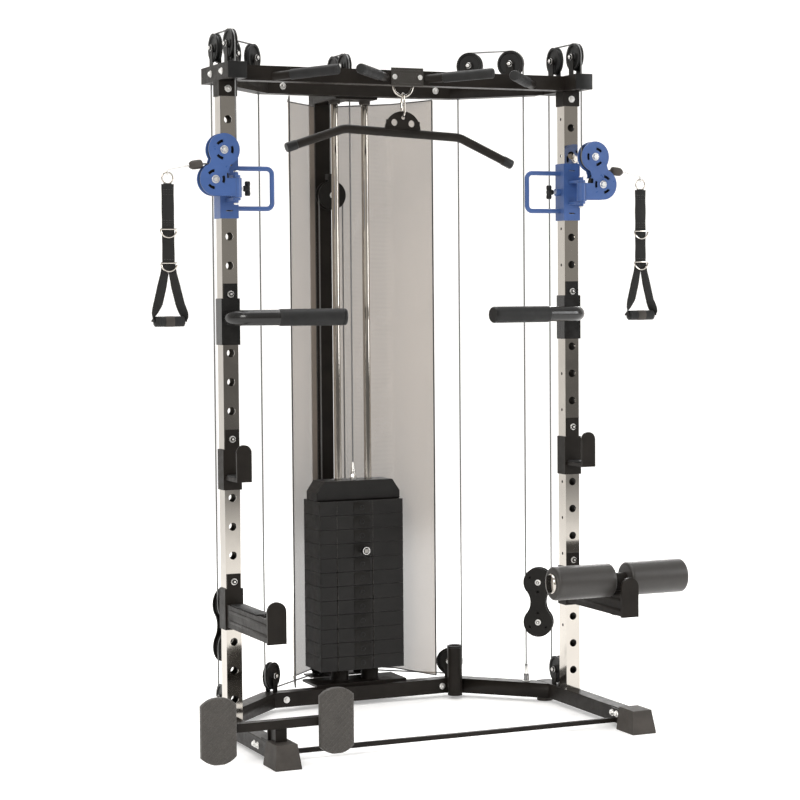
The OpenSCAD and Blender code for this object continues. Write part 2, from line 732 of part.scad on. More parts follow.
// Cable end under the pulley, rubber stop, and the wire with the eye that carries the strap.
module cable_stop(s) {
  color("#24211f") place() side(s)
    translate([up_x, -swivel_y, 0]) {
      cable_arc([upper_out, 0], upper_z, 0, 180, 90);
      translate([0, 0, stop_z]) rod_x(cable_d / 2, upper_out + cable_gap, stop_out);
      translate([stop_out, 0, stop_z]) rotate([0, 8, 0]) rod_x(14, 0, 40);
      rod([stop_out + 37, 0, stop_z - 5], [strap_out, 0, eye_z + eye_r + 2], 2.5);
      translate([strap_out, 0, eye_z])
        rotate([0, 90, 0])
          rotate_extrude($fn = 48) translate([eye_r, 0]) circle(r = 2, $fn = 16);
    }
}
module left_cable_stop() { cable_stop(-1); }
module right_cable_stop() { cable_stop(1); }
strap_top = eye_z - 2 * ring_r - 1;
grip_z = 1312;
grip_half = 47;
module strap(s) {
  split = 1486;
  leg = grip_half + 4;
  color("#191817") place() side(s)
    translate([up_x + strap_out, -swivel_y, 0]) {
      rotate([90, 0, 0])
        linear_extrude(height = 5, center = true) {
          translate([-20, split]) square([40, strap_top - split]);
          for (k = [-1, 1])
            polygon([[k * 20, split], [k * 2, split], [k * (leg - 18), grip_z + 36],
              [k * (leg - 3), grip_z + 19], [k * (leg - 3), grip_z], [k * (leg + 3), grip_z],
              [k * (leg + 3), grip_z + 30]]);
        }
      translate([0, 0, eye_z - ring_r])
        rotate([90, 0, 0])
          rotate_extrude($fn = 48) translate([ring_r, 0]) circle(r = 2.5, $fn = 16);
      translate([0, 0, grip_z]) rod_x(5, -leg - 3, leg + 3);
    }
}
module left_strap() { strap(-1); }
module right_strap() { strap(1); }
module grip(s) {
  color("#24211f") place() side(s)
    translate([up_x + strap_out, -swivel_y, grip_z])
      difference() {
        rod_x(16, -grip_half, grip_half);
        rod_x(5.05, -60, 60);
      }
}
module left_grip() { grip(-1); }
module right_grip() { grip(1); }

// ---- Attachments ---------------------------------------------------------------------

// U bracket that hugs the front of an upright between heights z0 and z1.
module hug(z0, z1, depth) {
  t = 5;
  difference() {
    translate([up_x - half - t, -half - t, z0]) cube([tube + 2 * t, t + depth, z1 - z0]);
    translate([up_x - half - 0.2, -half - 0.2, z0 - 1]) cube([tube + 0.4, depth + 10, z1 - z0 + 2]);
  }
}
module dip_handles() {
  r = 24.5;
  bend = 45;
  tip = [258, -132];
  away = [up_x, -half - 5 - 20 - bend];
  color("#1f1d1b") place() both() {
    hug(1236, 1380, 50);
    translate([up_x - 22, -half - 5, 1380]) cube([44, 5, 46]);
    translate([up_x, -half - 5, 1393]) rotate([90, 0, 0]) bolt_head();
    translate([up_x, 0, dip_z]) rod_y(r, -half - 5 - 20, -half - 2);
    // Elbow, then the level bar that runs inward and a little forward
    translate([up_x - bend, -half - 25, dip_z])
      rotate_extrude(angle = -83, $fn = 48) translate([bend, 0]) circle(r = r, $fn = 32);
    translate([up_x - bend, -half - 25, dip_z])
      rotate([0, 0, -83]) translate([bend, 0, 0]) rotate([90, 0, 0]) cylinder(r = r, h = 300, $fn = 40);
  }
}
module j_cups() {
  lip = -129;
  color("#24211f") place() both() {
    hug(786, 912, 50);
    translate([up_x - 22, -half - 5, 912]) cube([44, 5, 62]);
    translate([up_x, -half - 5, 944]) rotate([90, 0, 0]) bolt_head();
    translate([up_x - 24, lip, cup_z]) cube([48, -lip - half - 5, 12]);
    translate([up_x - 24, lip - 10, cup_z]) cube([48, 10, 90]);
    translate([up_x, lip, cup_z + 90]) rod_y(24, -10, 0);
  }
}
module spotter_arms() {
  end = -400;
  top = spotter_z + 70;
  color("#24211f") place() both() {
    hug(350, 478, 50);
    translate([up_x - 22, -half - 5, 478]) cube([44, 5, 46]);
    translate([up_x, -half - 5, 500]) rotate([90, 0, 0]) bolt_head();
    difference() {
      translate([up_x - 25, end, spotter_z]) cube([50, -end - half - 5, 70]);
      translate([up_x - 16.5, end + 57, spotter_z - 1]) cube([33, 33, 80]);
    }
    translate([up_x - 30, end - 10, spotter_z - 2]) cube([60, 10, 96]);
    translate([up_x, end, spotter_z + 94]) rod_y(30, -10, 0);
  }
}
roller_y = -326.5;
roller_gap = 27.5;
module roller_holder() {
  reach = roller_gap + roller_len;
  color("#24211f") place()
    translate([up_x, roller_y, 0]) {
      translate([-16, -16, spotter_z - 4]) cube([32, 32, roller_z - spotter_z - 10]);
      translate([-21, -21, spotter_z + 70]) cube([42, 42, 6]);
      translate([0, 0, roller_z]) rod_x(22, -26, 26);
      translate([0, 0, roller_z]) rod_x(12, -reach - 2, reach + 2);
      for (k = [-1, 1]) translate([k * (reach + 5), 0, roller_z]) rod_x(30, -3, 3);
    }
}
module roller(k) {
  color("#464240") place()
    translate([up_x + k * (roller_gap + roller_len / 2), roller_y, roller_z])
      difference() {
        rod_x(roller_r, -roller_len / 2, roller_len / 2);
        rod_x(12.06, -roller_len, roller_len);
      }
}
module left_roller() { roller(-1); }
module right_roller() { roller(1); }
foot_y = -410;
foot_z = 128;
module footrest_frame() {
  color("#24211f") place() {
    // Post over the rubber foot, with a shoe that bolts to the beam behind it
    translate([-up_x - 18, foot_y - 25, beam_top + 8]) cube([36, 50, foot_z - beam_top - 21]);
    translate([-up_x - half, foot_y + 22, beam_top]) cube([tube, 8, 40]);
    translate([-up_x - half, foot_y + 22, beam_top]) cube([tube, 60, 6]);
    translate([-797, foot_y - 40, foot_z - 13]) cube([362, 30, 26]);
  }
}
module footrest_pads() {
  color("#555049") place()
    for (x = [-801, -432])
      translate([x, foot_y - 40, foot_z])
        rotate([90, 0, 0])
          linear_extrude(height = 22)
            union() {
              square([108, 150], center = true);
              for (k = [-1, 1])
                intersection() {
                  square([108, 198], center = true);
                  translate([0, k * 24]) circle(r = 75, $fn = 96);
                }
            }
}
module lat_bar() {
  r = 14;
  bend_r = 80;
  low = 74;
  droop = atan2(low, bar_half - 201);
  start_x = 201 - bend_r * tan(droop / 2);
  lug_z = 1958;
  hole_z = lug_z - 6;
  // The bends are a hair thicker, and the straight lengths run a little way into them
  swell = 0.05;
  lap = 1;
  // The bar hangs with its right end a little lower
  tilt = 3;
  color("#24211f") place()
    translate([0, -8, 0]) {
      translate([0, 0, lug_z]) rotate([0, tilt, 0]) translate([0, 0, -lug_z]) {
        translate([0, 0, bar_z]) rod_x(r, -start_x - lap, start_x + lap);
        both() {
          translate([start_x, 0, bar_z - bend_r])
            rotate([90, 0, 0])
              rotate_extrude(angle = -droop, start = 90, $fn = 96)
                translate([bend_r, 0]) circle(r = r + swell, $fn = 32);
          translate([start_x + bend_r * sin(droop), 0, bar_z - bend_r * (1 - cos(droop))])
            rotate([0, droop, 0])
              rod_x(r, -lap, (bar_half - 201) / cos(droop) - bend_r * tan(droop / 2));
        }
        difference() {
          union() {
            translate([-58, -3, bar_z]) cube([116, 6, 40]);
            translate([0, 0, bar_z + 8]) rod_y(62, -3, 3);
          }
          translate([-80, -5, bar_z - 80]) cube([160, 10, 80]);
          for (k = [-1, 1]) translate([k * 30, 0, bar_z + 32]) rod_y(11, -5, 5);
          translate([0, 0, hole_z]) rod_y(7, -5, 5);
        }
      }
      // Snap hook from the plate up to the ring under the crossbeam
      for (k = [-1, 1]) translate([0, k * 11, lug_z + 8]) cylinder(r = 3, h = 51, $fn = 24);
      for (k = [0, 1])
        translate([0, 0, k ? lug_z + 59 : lug_z + 8])
          rotate([90, 0, 90])
            rotate_extrude(angle = 180, start = k ? 0 : 180, $fn = 48)
              translate([11, 0]) circle(r = 3, $fn = 24);
    }
}

foot_beams();
base_wings();
base_centre_beam();
base_spine();
rubber_feet();
rear_post();
left_upright();
right_upright();
side_top_beams();
top_wings();
top_rear_frame();
upright_clamps();
pull_up_bar();
hook_plate();
mesh_shroud();
guide_rods();
storage_tube();
floor_tie_bar();
frame_bolts();
pulley_forks();
frame_pulleys();
dip_handles();
j_cups();
spotter_arms();
resting_plates();
footrest_frame();
footrest_pads();
fixed_cables();
weight_cap();
selector_stem();
lifted_plates();
lift_run();
selector_pin();
float_block();
back_run();
centre_runs();
left_carriage();
right_carriage();
left_pulley_arm();
right_pulley_arm();
left_upper_pulley();
right_upper_pulley();
left_lower_pulley();
right_lower_pulley();
left_pop_pin();
right_pop_pin();
left_cable_stop();
right_cable_stop();
left_strap();
right_strap();
left_grip();
right_grip();
left_carriage_run();
right_carriage_run();
left_side_block();
right_side_block();
roller_holder();
left_roller();
right_roller();
lat_bar();
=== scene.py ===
"""Looks of the functional trainer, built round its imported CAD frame. Metres, +Z up, -Y towards the user."""

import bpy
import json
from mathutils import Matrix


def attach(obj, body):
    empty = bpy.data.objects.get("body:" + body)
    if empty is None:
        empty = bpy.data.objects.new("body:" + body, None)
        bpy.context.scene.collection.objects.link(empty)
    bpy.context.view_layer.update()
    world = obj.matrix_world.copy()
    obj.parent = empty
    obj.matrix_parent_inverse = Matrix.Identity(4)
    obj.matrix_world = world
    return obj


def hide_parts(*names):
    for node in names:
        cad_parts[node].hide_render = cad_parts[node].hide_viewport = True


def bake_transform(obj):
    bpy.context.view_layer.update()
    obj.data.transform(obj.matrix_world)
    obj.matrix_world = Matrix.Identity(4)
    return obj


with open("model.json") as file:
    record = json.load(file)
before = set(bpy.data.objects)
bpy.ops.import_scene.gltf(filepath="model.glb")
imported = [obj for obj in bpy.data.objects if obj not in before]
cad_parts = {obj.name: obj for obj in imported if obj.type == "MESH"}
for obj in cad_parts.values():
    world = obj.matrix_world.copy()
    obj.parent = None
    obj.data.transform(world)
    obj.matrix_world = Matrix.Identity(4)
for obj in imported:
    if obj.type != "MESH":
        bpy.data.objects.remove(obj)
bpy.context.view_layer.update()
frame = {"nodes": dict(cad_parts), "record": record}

import json
import math

import bmesh
import bpy
from mathutils import Matrix, Vector

NODES = frame["nodes"]

# Dimensions of the CAD part, in millimetres in the uprights' own frame (y = 0 at the uprights).
MID_Y = 134.5
UP_X = 597.0
TUBE_HALF = 25.0
TOP_BEAM_Z = 2075.0
BASE_BEAM_Z = 40.0
SWIVEL_Y = -97.0
WRAP_R = 43.5
TOP_PULLEY_Z = 2160.0
BASE_PULLEY_Z = 120.0
FOOT_PULLEY_Z = 116.0
STACK_Y = 441.0
FLOAT_Y = 620.0
FLOAT_Z = 1731.0
STEM_TOP = 795.0
PLATES_Z0 = 117.0
PLATE_PITCH = 48.0
PLATE_COUNT = 12
RESTING_COUNT = 8
PLATE_FRONT = STACK_Y - 75.0
CARRIAGE_Z = 1720.0
PIN_HOLES = (1600.0, 1720.0, 1840.0)
PIN_HOLE_HALF = 9.0
ARM_PULLEY_Z = 1832.0
ARM_PULLEYS = ((43.5, ARM_PULLEY_Z), (72.0, 1742.0))
HANG_Y = -8.0
STRAP_X = UP_X + 220.0
STOP_Z = 1788.5
EYE_Z = 1761.0
RING_R = 17.0
STRAP_TOP = 1726.0
SPLIT_Z = 1486.0
GRIP_Z = 1312.0
ROLLER_Y = -326.5
ROLLER_Z = 470.0
ROLLER_GAP = 27.5
ROLLER_LEN = 208.0
SIDES = (("left", -1), ("right", 1))


def at(x, y, z):
    """A point of the uprights' frame in millimetres, as a point of the row frame in metres."""
    return Vector((x, y - MID_Y, z)) / 1000.0


# ---- Camera ---------------------------------------------------------------------------

CAMERA_YAW = 23.65


def make_camera():
    yaw, pitch, roll = math.radians(CAMERA_YAW), math.radians(2.87), math.radians(-0.47)
    ahead = Vector((math.sin(yaw) * math.cos(pitch), math.cos(yaw) * math.cos(pitch), -math.sin(pitch)))
    level = Vector((math.cos(yaw), -math.sin(yaw), 0.0))
    rise = level.cross(ahead)
    right = math.cos(roll) * level + math.sin(roll) * rise
    up = -math.sin(roll) * level + math.cos(roll) * rise
    camera = bpy.data.objects.new("camera", bpy.data.cameras.new("camera"))
    camera.data.lens = 97.97
    camera.data.sensor_width = 36.0
    camera.data.clip_end = 100.0
    turn = Matrix((right, up, -ahead)).transposed().to_4x4()
    camera.matrix_world = Matrix.Translation((-2.821, -6.5405, 1.399)) @ turn
    bpy.context.scene.collection.objects.link(camera)
    bpy.context.scene.camera = camera


make_camera()


# ---- Materials ------------------------------------------------------------------------

class Shader:
    """A material under construction: nodes, links and the shared texture coordinates."""

    def __init__(self, name):
        self.material = bpy.data.materials.new(name)
        self.material.use_nodes = True
        self.tree = self.material.node_tree
        self.bsdf = self.tree.nodes["Principled BSDF"]
        self.place = self.node("ShaderNodeTexCoord").outputs["Object"]

    def node(self, kind, **values):
        made = self.tree.nodes.new(kind)
        for key, value in values.items():
            if hasattr(made, key):
                setattr(made, key, value)
            else:
                made.inputs[key.replace("_", " ").title()].default_value = value
        return made

    def link(self, source, target):
        self.tree.links.new(source, target)

    def noise(self, scale, detail=3.0, rough=0.55):
        made = self.node("ShaderNodeTexNoise")
        made.inputs["Scale"].default_value = scale
        made.inputs["Detail"].default_value = detail
        made.inputs["Roughness"].default_value = rough
        self.link(self.place, made.inputs["Vector"])
        return made.outputs["Fac"]

    def spread(self, source, low, high, start=0.3, end=0.7):
        made = self.node("ShaderNodeMapRange")
        made.inputs["From Min"].default_value = start
        made.inputs["From Max"].default_value = end
        made.inputs["To Min"].default_value = low
        made.inputs["To Max"].default_value = high
        self.link(source, made.inputs["Value"])
        return made.outputs["Result"]

    def mix(self, share, first, second):
        made = self.node("ShaderNodeMix", data_type="RGBA")
        for value, socket in ((first, 6), (second, 7)):
            if isinstance(value, (tuple, list)):
                made.inputs[socket].default_value = (*value, 1.0)
            else:
                self.link(value, made.inputs[socket])
        self.link(share, made.inputs[0])
        return made.outputs[2]

    def times(self, first, second, how="MULTIPLY"):
        made = self.node("ShaderNodeMath", operation=how)
        for value, socket in ((first, 0), (second, 1)):
            if isinstance(value, (int, float)):
                made.inputs[socket].default_value = value
            else:
                self.link(value, made.inputs[socket])
        return made.outputs[0]

    def wave(self, scale, axis="X"):
        made = self.node("ShaderNodeTexWave")
        made.bands_direction = axis
        made.inputs["Scale"].default_value = scale
        made.inputs["Distortion"].default_value = 0.0
        self.link(self.place, made.inputs["Vector"])
        return made.outputs["Fac"]

    def bump(self, height, depth, strength=1.0):
        made = self.node("ShaderNodeBump")
        made.inputs["Strength"].default_value = strength
        made.inputs["Distance"].default_value = depth
        self.link(height, made.inputs["Height"])
        self.link(made.outputs["Normal"], self.bsdf.inputs["Normal"])

    def edges(self, radius):
        """How close a point is to a sharp edge, from 0 to 1."""
        soft = self.node("ShaderNodeBevel", samples=4)
        soft.inputs["Radius"].default_value = radius
        hard = self.node("ShaderNodeNewGeometry")
        dot = self.node("ShaderNodeVectorMath", operation="DOT_PRODUCT")
        self.link(soft.outputs["Normal"], dot.inputs[0])
        self.link(hard.outputs["Normal"], dot.inputs[1])
        return self.spread(dot.outputs["Value"], 1.0, 0.0, 0.75, 0.99)


def coated(name, base, rough, grain=900.0, depth=0.00025, vary=0.25, worn=None, shine=0.25):
    """Powder coat, paint or moulded plastic: mottled colour, a fine grain, and rubbed edges."""
    s = Shader(name)
    dark = tuple(c * (1 - vary) for c in base)
    light = tuple(c * (1 + vary) for c in base)
    colour = s.mix(s.spread(s.noise(14.0, 5.0), 0.0, 1.0), dark, light)
    if worn:
        rub = s.times(s.edges(0.0014), s.spread(s.noise(60.0, 4.0), 0.15, 1.0))
        colour = s.mix(rub, colour, worn)
    s.link(colour, s.bsdf.inputs["Base Color"])
    s.link(s.spread(s.noise(40.0, 4.0), rough - 0.07, rough + 0.07), s.bsdf.inputs["Roughness"])
    s.bsdf.inputs["Specular IOR Level"].default_value = shine
    s.bump(s.noise(grain, 2.0), depth, 0.5)
    return s.material


def plated(name, base, rough, brush=None):
    """Chrome, zinc or bare steel, with faint handling marks."""
    s = Shader(name)
    colour = s.mix(s.spread(s.noise(9.0, 4.0), 0.0, 1.0), tuple(c * 0.93 for c in base), base)
    s.link(colour, s.bsdf.inputs["Base Color"])
    s.bsdf.inputs["Metallic"].default_value = 1.0
    s.link(s.spread(s.noise(30.0, 6.0), rough * 0.7, rough * 1.5), s.bsdf.inputs["Roughness"])
    if brush:
        s.bump(s.wave(brush, "Z"), 0.0001, 0.3)
    else:
        s.bump(s.noise(6.0, 2.0), 0.0006, 0.12)
    return s.material


def woven(name, base, thread, sheen=0.4):
    """Tight webbing: two crossed sets of threads."""
    s = Shader(name)
    weave = s.times(s.wave(thread, "X"), s.wave(thread * 0.8, "Z"))
    colour = s.mix(weave, tuple(c * 0.45 for c in base), tuple(c * 1.5 for c in base))
    s.link(colour, s.bsdf.inputs["Base Color"])
    s.bsdf.inputs["Roughness"].default_value = 0.85
    s.bsdf.inputs["Sheen Weight"].default_value = sheen
    s.bump(weave, 0.0005, 0.8)
    return s.material


def foamed(name, base, grain, depth, rough):
    """Foam or rubber with a cellular skin."""
    s = Shader(name)
    cells = s.node("ShaderNodeTexVoronoi")
    cells.inputs["Scale"].default_value = grain
    s.link(s.place, cells.inputs["Vector"])
    blend = s.times(cells.outputs["Distance"], s.spread(s.noise(20.0, 5.0), 0.6, 1.3))
    dark = tuple(c * 0.7 for c in base)
    light = tuple(c * 1.25 for c in base)
    colour = s.mix(s.spread(blend, 0.0, 1.0, 0.0, 0.8), dark, light)
    s.link(colour, s.bsdf.inputs["Base Color"])
    s.bsdf.inputs["Roughness"].default_value = rough
    s.bsdf.inputs["Sheen Weight"].default_value = 0.15
    s.bump(cells.outputs["Distance"], depth, 0.6)
    return s.material


def netting(name, base, threads, cover):
    """See-through mesh cloth: threads that let part of the light by."""
    s = Shader(name)
    up = s.wave(threads, "Z")
    across = s.wave(threads, "DIAGONAL")
    thread = s.times(up, across, "MAXIMUM")
    colour = s.mix(s.spread(s.noise(3.0, 3.0), 0.0, 1.0), tuple(c * 0.9 for c in base), base)
    s.link(s.mix(thread, tuple(c * 0.8 for c in base), colour), s.bsdf.inputs["Base Color"])
    s.bsdf.inputs["Roughness"].default_value = 0.9
    s.link(s.spread(thread, cover - 0.14, cover + 0.14, 0.0, 1.0), s.bsdf.inputs["Alpha"])
    s.bump(thread, 0.0003, 0.4)
    return s.material


BARE = (0.16, 0.15, 0.14)
MATERIALS = {
    "frame_black": coated("powder_coat", (0.013, 0.0108, 0.009), 0.4, worn=(0.042, 0.037, 0.033), shine=0.13),
    "bracket_black": coated("bracket_paint", (0.0105, 0.0095, 0.0085), 0.36, worn=(0.038, 0.034, 0.03),
                            shine=0.16),
    "pulley_nylon": coated("pulley_nylon", (0.009, 0.0088, 0.0085), 0.42, grain=500.0),
    "plate_iron": coated("plate_paint", (0.0085, 0.0078, 0.0072), 0.4, grain=420.0, depth=0.0005, worn=BARE),
    "patterned_plate": coated("pressed_plate", (0.035, 0.032, 0.028), 0.42, worn=BARE),
    "blue_paint": coated("blue_coat", (0.044, 0.092, 0.25), 0.34, vary=0.1, worn=(0.1, 0.15, 0.3), shine=0.4),
    "rubber_black": coated("moulded_rubber", (0.05, 0.044, 0.039), 0.62, grain=260.0, depth=0.0006),
    "knob_plastic": coated("knob_plastic", (0.01, 0.01, 0.01), 0.35, grain=700.0),
    "chrome_tube": plated("chrome", (0.56, 0.525, 0.48), 0.07),
    "bright_steel": plated("zinc", (0.82, 0.81, 0.79), 0.3),
    "cable_steel": plated("wire_rope", (0.2, 0.2, 0.2), 0.4, brush=260.0),
    "mesh_cloth": netting("mesh_cloth", (0.34, 0.285, 0.235), 140.0, 0.7),
    "webbing": woven("webbing", (0.0085, 0.0078, 0.007), 300.0, sheen=0.03),
    "grip_rubber": coated("grip_rubber", (0.014, 0.014, 0.014), 0.55, grain=350.0, depth=0.0005),
    "foam": foamed("foam", (0.021, 0.018, 0.0155), 520.0, 0.00025, 0.4),
    "pad_rubber": foamed("pad_rubber", (0.043, 0.038, 0.033), 420.0, 0.0003, 0.62),
    "edging": woven("edging", (0.05, 0.045, 0.04), 260.0),
    "gloss_black": coated("gloss_black", (0.007, 0.0066, 0.0062), 0.2, grain=300.0, depth=0.0001, shine=0.5),
    "label": coated("label", (0.32, 0.31, 0.29), 0.5, grain=200.0),
}


def dress(mesh, material):
    mesh.materials.clear()
    mesh.materials.append(material)


for row in frame["record"]["subparts"]:
    dress(NODES[row["node"]].data, MATERIALS[row["material_slot"]])
dress(NODES["dip_handles"].data, MATERIALS["gloss_black"])

# Rounded edges on the flat-sided steel of the frame
ROUNDED = {
    "foot_beams": 2.5, "base_wings": 2.5, "base_centre_beam": 2.5, "base_spine": 1.5, "rear_post": 3.0,
    "side_top_beams": 3.0, "top_wings": 2.5, "top_rear_frame": 1.5, "upright_clamps": 1.2,
    "resting_plates": 3.0, "lifted_plates": 3.0, "weight_cap": 3.0, "footrest_frame": 1.5,
    "floor_tie_bar": 1.0, "j_cups": 1.2, "spotter_arms": 1.5, "rubber_feet": 2.5,
}
for name, width in ROUNDED.items():
    weld = NODES[name].modifiers.new("weld", "WELD")
    weld.merge_threshold = 0.00002
    round_off = NODES[name].modifiers.new("round", "BEVEL")
    round_off.width = width / 1000.0
    round_off.segments = 2
    round_off.limit_method = "ANGLE"
    round_off.angle_limit = math.radians(40)
    round_off.harden_normals = True


# ---- Mesh building --------------------------------------------------------------------

class Piece:
    """One Blender piece: geometry gathered in a bmesh, then put on its body with its material."""

    def __init__(self, name, body, slot, material=None, replaced=()):
        self.name, self.body, self.slot = name, body, slot
        self.material = material or slot
        self.replaced = replaced
        self.bm = bmesh.new()

    def finish(self, sharp=0.6, ride=True):
        bmesh.ops.remove_doubles(self.bm, verts=self.bm.verts, dist=1e-6)
        bmesh.ops.recalc_face_normals(self.bm, faces=self.bm.faces)
        mesh = bpy.data.meshes.new(self.name)
        self.bm.to_mesh(mesh)
        self.bm.free()
        mesh.shade_smooth()
        mesh.set_sharp_from_angle(angle=sharp)
        dress(mesh, MATERIALS[self.material])
        obj = bpy.data.objects.new(self.name, mesh)
        bpy.context.scene.collection.objects.link(obj)
        if ride:
            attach(obj, self.body)
        if self.replaced:
            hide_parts(*self.replaced)
        return obj


def basis(axis):
    """Two unit vectors square to axis."""
    axis = Vector(axis).normalized()
    other = Vector((0, 0, 1)) if abs(axis.z) < 0.9 else Vector((1, 0, 0))
    first = axis.cross(other).normalized()
    return first, axis.cross(first)


def lathe(bm, origin, axis, profile, seg=32):
    """Turn a profile of (radius, distance along axis) points in millimetres about an axis."""
    axis = Vector(axis).normalized()
    u, v = basis(axis)
    rings = []
    for radius, along in profile:
        base = origin + axis * (along / 1000.0)
        if radius < 1e-6:
            rings.append([bm.verts.new(base)])
            continue
        ring = []
        for i in range(seg):
            a = 2 * math.pi * i / seg
            ring.append(bm.verts.new(base + (u * math.cos(a) + v * math.sin(a)) * (radius / 1000.0)))
        rings.append(ring)
    for one, two in zip(rings, rings[1:]):
        for i in range(seg):
            j = (i + 1) % seg
            quad = [one[i % len(one)], one[j % len(one)], two[j % len(two)], two[i % len(two)]]
            corners = list(dict.fromkeys(quad))
            if len(corners) > 2:
                bm.faces.new(corners)


def tube(bm, points, radius, seg=12, closed=False):
    """Sweep a round section of a radius in millimetres along points in metres."""
    points = [Vector(p) for p in points]
    count = len(points)
    rings, side = [], None
    for i, p in enumerate(points):
        before = points[i - 1] if i or closed else p
        after = points[(i + 1) % count] if i < count - 1 or closed else p
        ahead = (after - before).normalized()
        if side is None:
            side = basis(ahead)[0]
        side = (side - ahead * side.dot(ahead)).normalized()
        up = ahead.cross(side)
        ring = []
        for k in range(seg):
            a = 2 * math.pi * k / seg
            ring.append(bm.verts.new(p + (side * math.cos(a) + up * math.sin(a)) * (radius / 1000.0)))
        rings.append(ring)
    spans = list(zip(rings, rings[1:])) + ([(rings[-1], rings[0])] if closed else [])
    for one, two in spans:
        for k in range(seg):
            m = (k + 1) % seg
            bm.faces.new((one[k], one[m], two[m], two[k]))
    if not closed:
        bm.faces.new(rings[0])
        bm.faces.new(rings[-1][::-1])


def ring(centre, radius, u, v, start=0.0, sweep=360.0, count=28):
    """Points of a circle or arc, a radius in millimetres, in the plane of u and v."""
    u, v = Vector(u), Vector(v)
    last = count if sweep >= 360 else count - 1
    out = []
    for i in range(count):
        a = math.radians(start + sweep * i / last)
        out.append(centre + (u * math.cos(a) + v * math.sin(a)) * (radius / 1000.0))
    return out


def slab(bm, centre, size, turn=None, bevel=1.0, steps=2):
    """A box of a size in millimetres with rounded edges."""
    made = bmesh.ops.create_cube(bm, size=1.0)
    scale = Matrix.Diagonal(Vector(size) / 1000.0).to_4x4()
    bmesh.ops.transform(bm, matrix=(turn or Matrix()).to_4x4() @ scale, verts=made["verts"])
    bmesh.ops.translate(bm, vec=centre, verts=made["verts"])
    edges = list(dict.fromkeys(e for v in made["verts"] for e in v.link_edges))
    bmesh.ops.bevel(bm, geom=edges, offset=bevel / 1000.0, segments=steps, profile=0.6, affect="EDGES")


def bolt(bm, point, axis, r=8.0, washer=11.0, head=6.0):
    """Washer, chamfered hexagon head and thread end, standing on a face at point."""
    lathe(bm, point, axis, [(0, 0.2), (washer, 0.2), (washer, 1.6), (washer - 0.8, 2.2), (0, 2.2)], 28)
    lathe(bm, point, axis, [(0, 2.0), (r, 2.0), (r, head), (r * 0.86, head + 1.6), (0, head + 1.6)], 6)
    thread = [(r * 0.42, head + 1.4), (r * 0.42, head + 3.2), (r * 0.3, head + 4.0), (0, head + 4.0)]
    lathe(bm, point, axis, thread, 16)


def strip(bm, points, across, width, thick):
    """A flat band along points in metres, its width and thickness in millimetres; across points widthways."""
    section = ((-1, -0.5), (-0.94, -1), (0.94, -1), (1, -0.5), (1, 0.5), (0.94, 1), (-0.94, 1), (-1, 0.5))
    points = [Vector(p) for p in points]
    turning = isinstance(across, list)
    rows = []
    for i, p in enumerate(points):
        ahead = (points[min(i + 1, len(points) - 1)] - points[max(i - 1, 0)]).normalized()
        wide = Vector(across[i] if turning else across).normalized()
        face = ahead.cross(wide).normalized()
        w = width[i] if isinstance(width, (list, tuple)) else width
        rows.append([bm.verts.new(p + wide * (a * w / 2000.0) + face * (b * thick / 2000.0))
                     for a, b in section])
    for one, two in zip(rows, rows[1:]):
        for k in range(len(section)):
            m = (k + 1) % len(section)
            bm.faces.new((one[k], one[m], two[m], two[k]))
    bm.faces.new(rows[0])
    bm.faces.new(rows[-1][::-1])


# ---- Cables ----------------------------------------------------------------------------

def cable(name, body, node, runs, z_fixed, z_moving):
    """Upright cable between a fixed height and a moving one."""
    piece = Piece(name, body, "cable_steel", replaced=[node])
    for x, y in runs:
        tube(piece.bm, [at(x, y, z_fixed), at(x, y, z_moving)], 2.5)
    obj = piece.finish(ride=False)
    x, y = runs[0]
    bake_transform(obj)


cable("lift_cable", "stack", "lift_run", [(0, STACK_Y)], TOP_PULLEY_Z, STEM_TOP)
cable("back_cable", "float", "back_run", [(0, FLOAT_Y)], TOP_PULLEY_Z, FLOAT_Z + 74)
cable("centre_cables", "float", "centre_runs", [(-WRAP_R, FLOAT_Y), (WRAP_R, FLOAT_Y)],
      BASE_PULLEY_Z, FLOAT_Z)
for side, k in SIDES:
    cable(side + "_drop_cable", side + "_carriage", side + "_carriage_run", [(k * UP_X, SWIVEL_Y)],
          TOP_PULLEY_Z, ARM_PULLEY_Z)

# ---- Bolts -----------------------------------------------------------------------------

bolts = Piece("frame_hardware", "frame", "bright_steel", replaced=["frame_bolts"])
LINE = (361.0, 347.0)
TURN = math.atan2(FLOAT_Y - LINE[1], WRAP_R - LINE[0])
BASE_PULLEY = (LINE[0] + WRAP_R * math.cos(TURN), LINE[1] + WRAP_R * math.sin(TURN))
TURN_PULLEY = (WRAP_R - WRAP_R * math.cos(TURN), FLOAT_Y - WRAP_R * math.sin(TURN))
# Middle of the side block in plan, and the turn of its axles in degrees
SIDE_BLOCK = (561.65, 156.1, -35.9)
